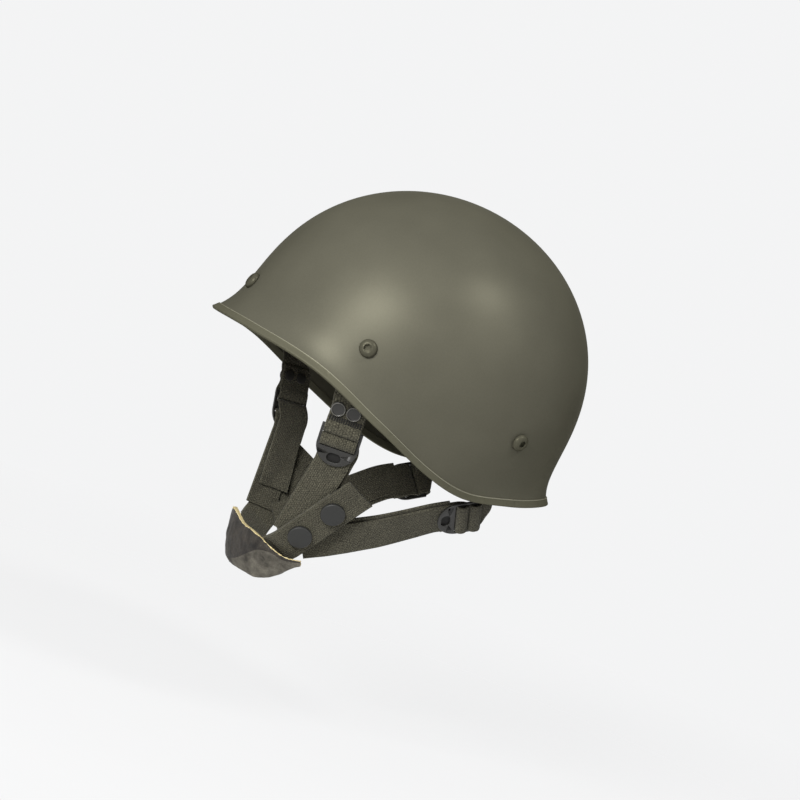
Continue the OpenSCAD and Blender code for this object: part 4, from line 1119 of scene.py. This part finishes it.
def sweatband():
    """A leather band over thin padding, with a sewn hem along its top and its bottom."""
    half = SWEAT_HEIGHT / 2
    near = -RING_T - 0.35
    far = near - SWEAT_T + 0.15
    def fill(z):
        t = abs(z) / half
        soft = 1 - max(0, (t - 0.72) / 0.28) ** 2
        return near + (far - near) * (0.45 + 0.55 * soft) * (0.72 if 0.78 < t < 0.84 else 1)
    levels = [-half + SWEAT_HEIGHT * k / 30 for k in range(31)]
    profile = ([(near - 0.2, -half)] + [(near, z) for z in (-half + 0.6, 0, half - 0.6)]
               + [(near - 0.2, half)] + [(fill(z), z * 0.995) for z in reversed(levels)])
    n = len(profile)
    verts = []
    for j in range(SWEAT_COLUMNS):
        a = j * 360 / SWEAT_COLUMNS
        for k, (grow, z) in enumerate(profile):
            wrinkle = 0.14 * noise.noise(Vector((a / 2.6, z / 7, 3))) if 5 < k < n - 2 else 0
            verts.append(ring_level(a, min(near - 0.05, grow + wrinkle) if k > 4 else grow, z))
    band = make("leather_sweatband", verts, ring_faces(SWEAT_COLUMNS, n, inward=True),
                ["sweat_leather"], sharp=60)
    placed(band, "root", ["sweatband"])
    seams = []
    for level in (half * 0.81, -half * 0.81):
        for j in range(SEAM_COUNT):
            ends = [ring_level((j + k) * 360 / SEAM_COUNT, far + 0.55, level) for k in (0, 1)]
            inwards = ring_point(0, 0, level) - mix(*ends, 0.5)
            seams.append((*ends, inwards.normalized()))
    sewn("sweatband_stitches", seams, "root", pitch=3.2, length=2.3, radius=0.26)


def crown_straps():
    """Three webbing straps that cross over the head."""
    sets = []
    for layer, azimuth in enumerate(STRAP_AZIMUTHS):
        rise = STRAP_RISE + layer * STRAP_LAYER
        low, high = [[ring_level(azimuth + k, RING_SEAT, z) for z in (-STRAP_END / 2, 2)]
                     for k in (0, 180)]
        arch, turns = [], [1, 1]
        for t in range(-84, 85, 12):
            c, reach = cos(radians(t)), sin(radians(abs(t)))
            p = ring_level(azimuth if t < 0 else azimuth + 180, RING_SEAT,
                           mix(STRAP_EDGE, rise, c), reach)
            arch.append(p - Vector((0, rise * sin(RING_TILT) * c * c, 0)))
            turns.append(max(0, (abs(t) - 60) / 24))
        a = radians(azimuth)
        facing = degrees(atan2(sin(a) / RING_WIDTH ** 2,
                                         cos(a) / RING_LENGTH ** 2))
        points = low + arch + high[::-1]
        middle, across = [], []
        for i, (p, t) in enumerate(zip(points, turns + [1, 1])):
            w = radians(mix(azimuth, facing, t))
            across.append(-Vector((cos(w), sin(w), 0)))
            middle.append(p + STRAP_THICK / 2 * way(points, i).cross(across[i]).normalized())
        sets.append(webbing(smooth(middle, 4), smooth(across, 4), STRAP_WIDE,
                            STRAP_THICK * 0.94, step=1.1))
    placed(woven("crown_webbing", join(*sets), key="liner_webbing"), "root",
           ["crown_straps"])


def crown_pad():
    """A foam pad that hugs the steel, with a soft round edge."""
    near = WALL + PAD_GAP
    def point(i, j, under):
        t, a = i / PAD_ROWS, j * 360 / PAD_COLUMNS
        share = t * PAD_ANGLE / degrees(rim_angle(a))
        depth = near
        if under:
            depth += PAD_T * (0.35 + 0.65 * sqrt(1 - t ** 3))
            depth += 0.25 * noise.noise(bowl(a, share) / 9)
        elif i == PAD_ROWS:
            depth += 0.8
        return bowl(a, share) - depth * bowl_normal(a, share)
    tops = [Vector((0, 0, CROWN - depth)) for depth in (near, near + PAD_T)]
    pad = make("foam_crown_pad", *dish(PAD_ROWS, PAD_COLUMNS, tops, point), ["foam_rubber"])
    placed(pad, "root", ["crown_pad"])


# Stage

FLOOR_REACH = 1.5


def backdrop():
    """The studio lights weakly, and is seen as the pale backdrop."""
    scene.world = bpy.data.worlds.new("studio")
    g = Graph(scene.world)
    g.finish(color=(1, 1, 1, 1), strength=0.17)
    shown = g.node("Background", {"Color": BACKGROUND})
    g.show(g.mixed(g.seen(), g.shader, shown))


def floor():
    """A pale floor that fades into the backdrop. It is not there when seen from below."""
    bpy.ops.mesh.primitive_plane_add(size=2 * FLOOR_REACH, location=(0, 0, FLOOR_Z * MM))
    plane = bpy.context.object
    plane.name = "pale_floor"
    g = material("pale_floor")
    base = g.mask(g.noise(g.place(), 40, 3), 0.3, 0.7, 0.87, 0.89)
    plane.data.materials.append(g.finish(base=base, roughness=0.9, specular=0.0))
    shown = g.node("Emission", {"Color": (0.99, 0.992, 0.996, 1)})
    part = g.mixed(g.times(g.seen(), 0.78), g.shader, shown)
    away = g.node("VectorMath", {0: g.node("TexCoord").outputs["Object"]}, operation="LENGTH")
    fade = g.mask(g.math("DIVIDE", away.outputs["Value"], FLOOR_REACH), 0.22, 0.62)
    gone = g.math("MAXIMUM", fade, g.node("NewGeometry").outputs["Backfacing"])
    g.show(g.mixed(gone, part, g.node("BsdfTransparent")))


def area_light(name, place, size, energy):
    """A round lamp that faces the middle of the helmet."""
    data = given(bpy.data.lights.new(name, "AREA"), shape="DISK", size=size, energy=energy)
    facing(linked(name, data), place).location = place


def camera():
    data = given(bpy.data.cameras.new("camera"), lens=CAMERA_LENS, sensor_width=SENSOR,
                 sensor_fit="HORIZONTAL", clip_start=0.05)
    back = CAMERA_RIGHT.cross(CAMERA_UP)
    axes = Matrix((CAMERA_RIGHT, CAMERA_UP, back)).transposed().to_4x4()
    axes.translation = CAMERA_PLACE * MM
    scene.camera = given(linked("camera", data), matrix_world=axes)


camera()
backdrop()
floor()
area_light("key", (1.5, -1.5, 0.95), 1.0, 44)
area_light("second", (1.2, 0.8, 1.8), 0.6, 15)
area_light("rear_fill", (-1.6, 1.0, 1.0), 1.4, 3)
scene.view_settings.view_transform = "Standard"

SIDES = ("left_", "right_")
steel_bowl()
rim_strip()
for build in (front_side, tab_side, rear_side):
    for side in SIDES:
        build(side)
chin_cup()
sweatband()
crown_straps()
crown_pad()

cad_finish(["shell_bolts"], "bolt_paint", 0.25)
cad_finish(["bolt_washers", "bolt_nuts", "headband_rivets"], "zinc_steel", 0.15)
cad_finish(["liner_brackets"], "black_steel", 0.2)
cad_finish(["headband_ring"], "fibre_board", 0.3)
cad_finish([s + n for s in SIDES for n in ("front_buckle", "rear_buckle")], "black_steel", 0.4, 3)
cad_finish([s + n for s in SIDES for n in ("press_studs", "stud_caps")], "cap_steel", 0.15)
cad_finish([s + "hanger_rivets" for s in SIDES], "black_steel", 0.15)
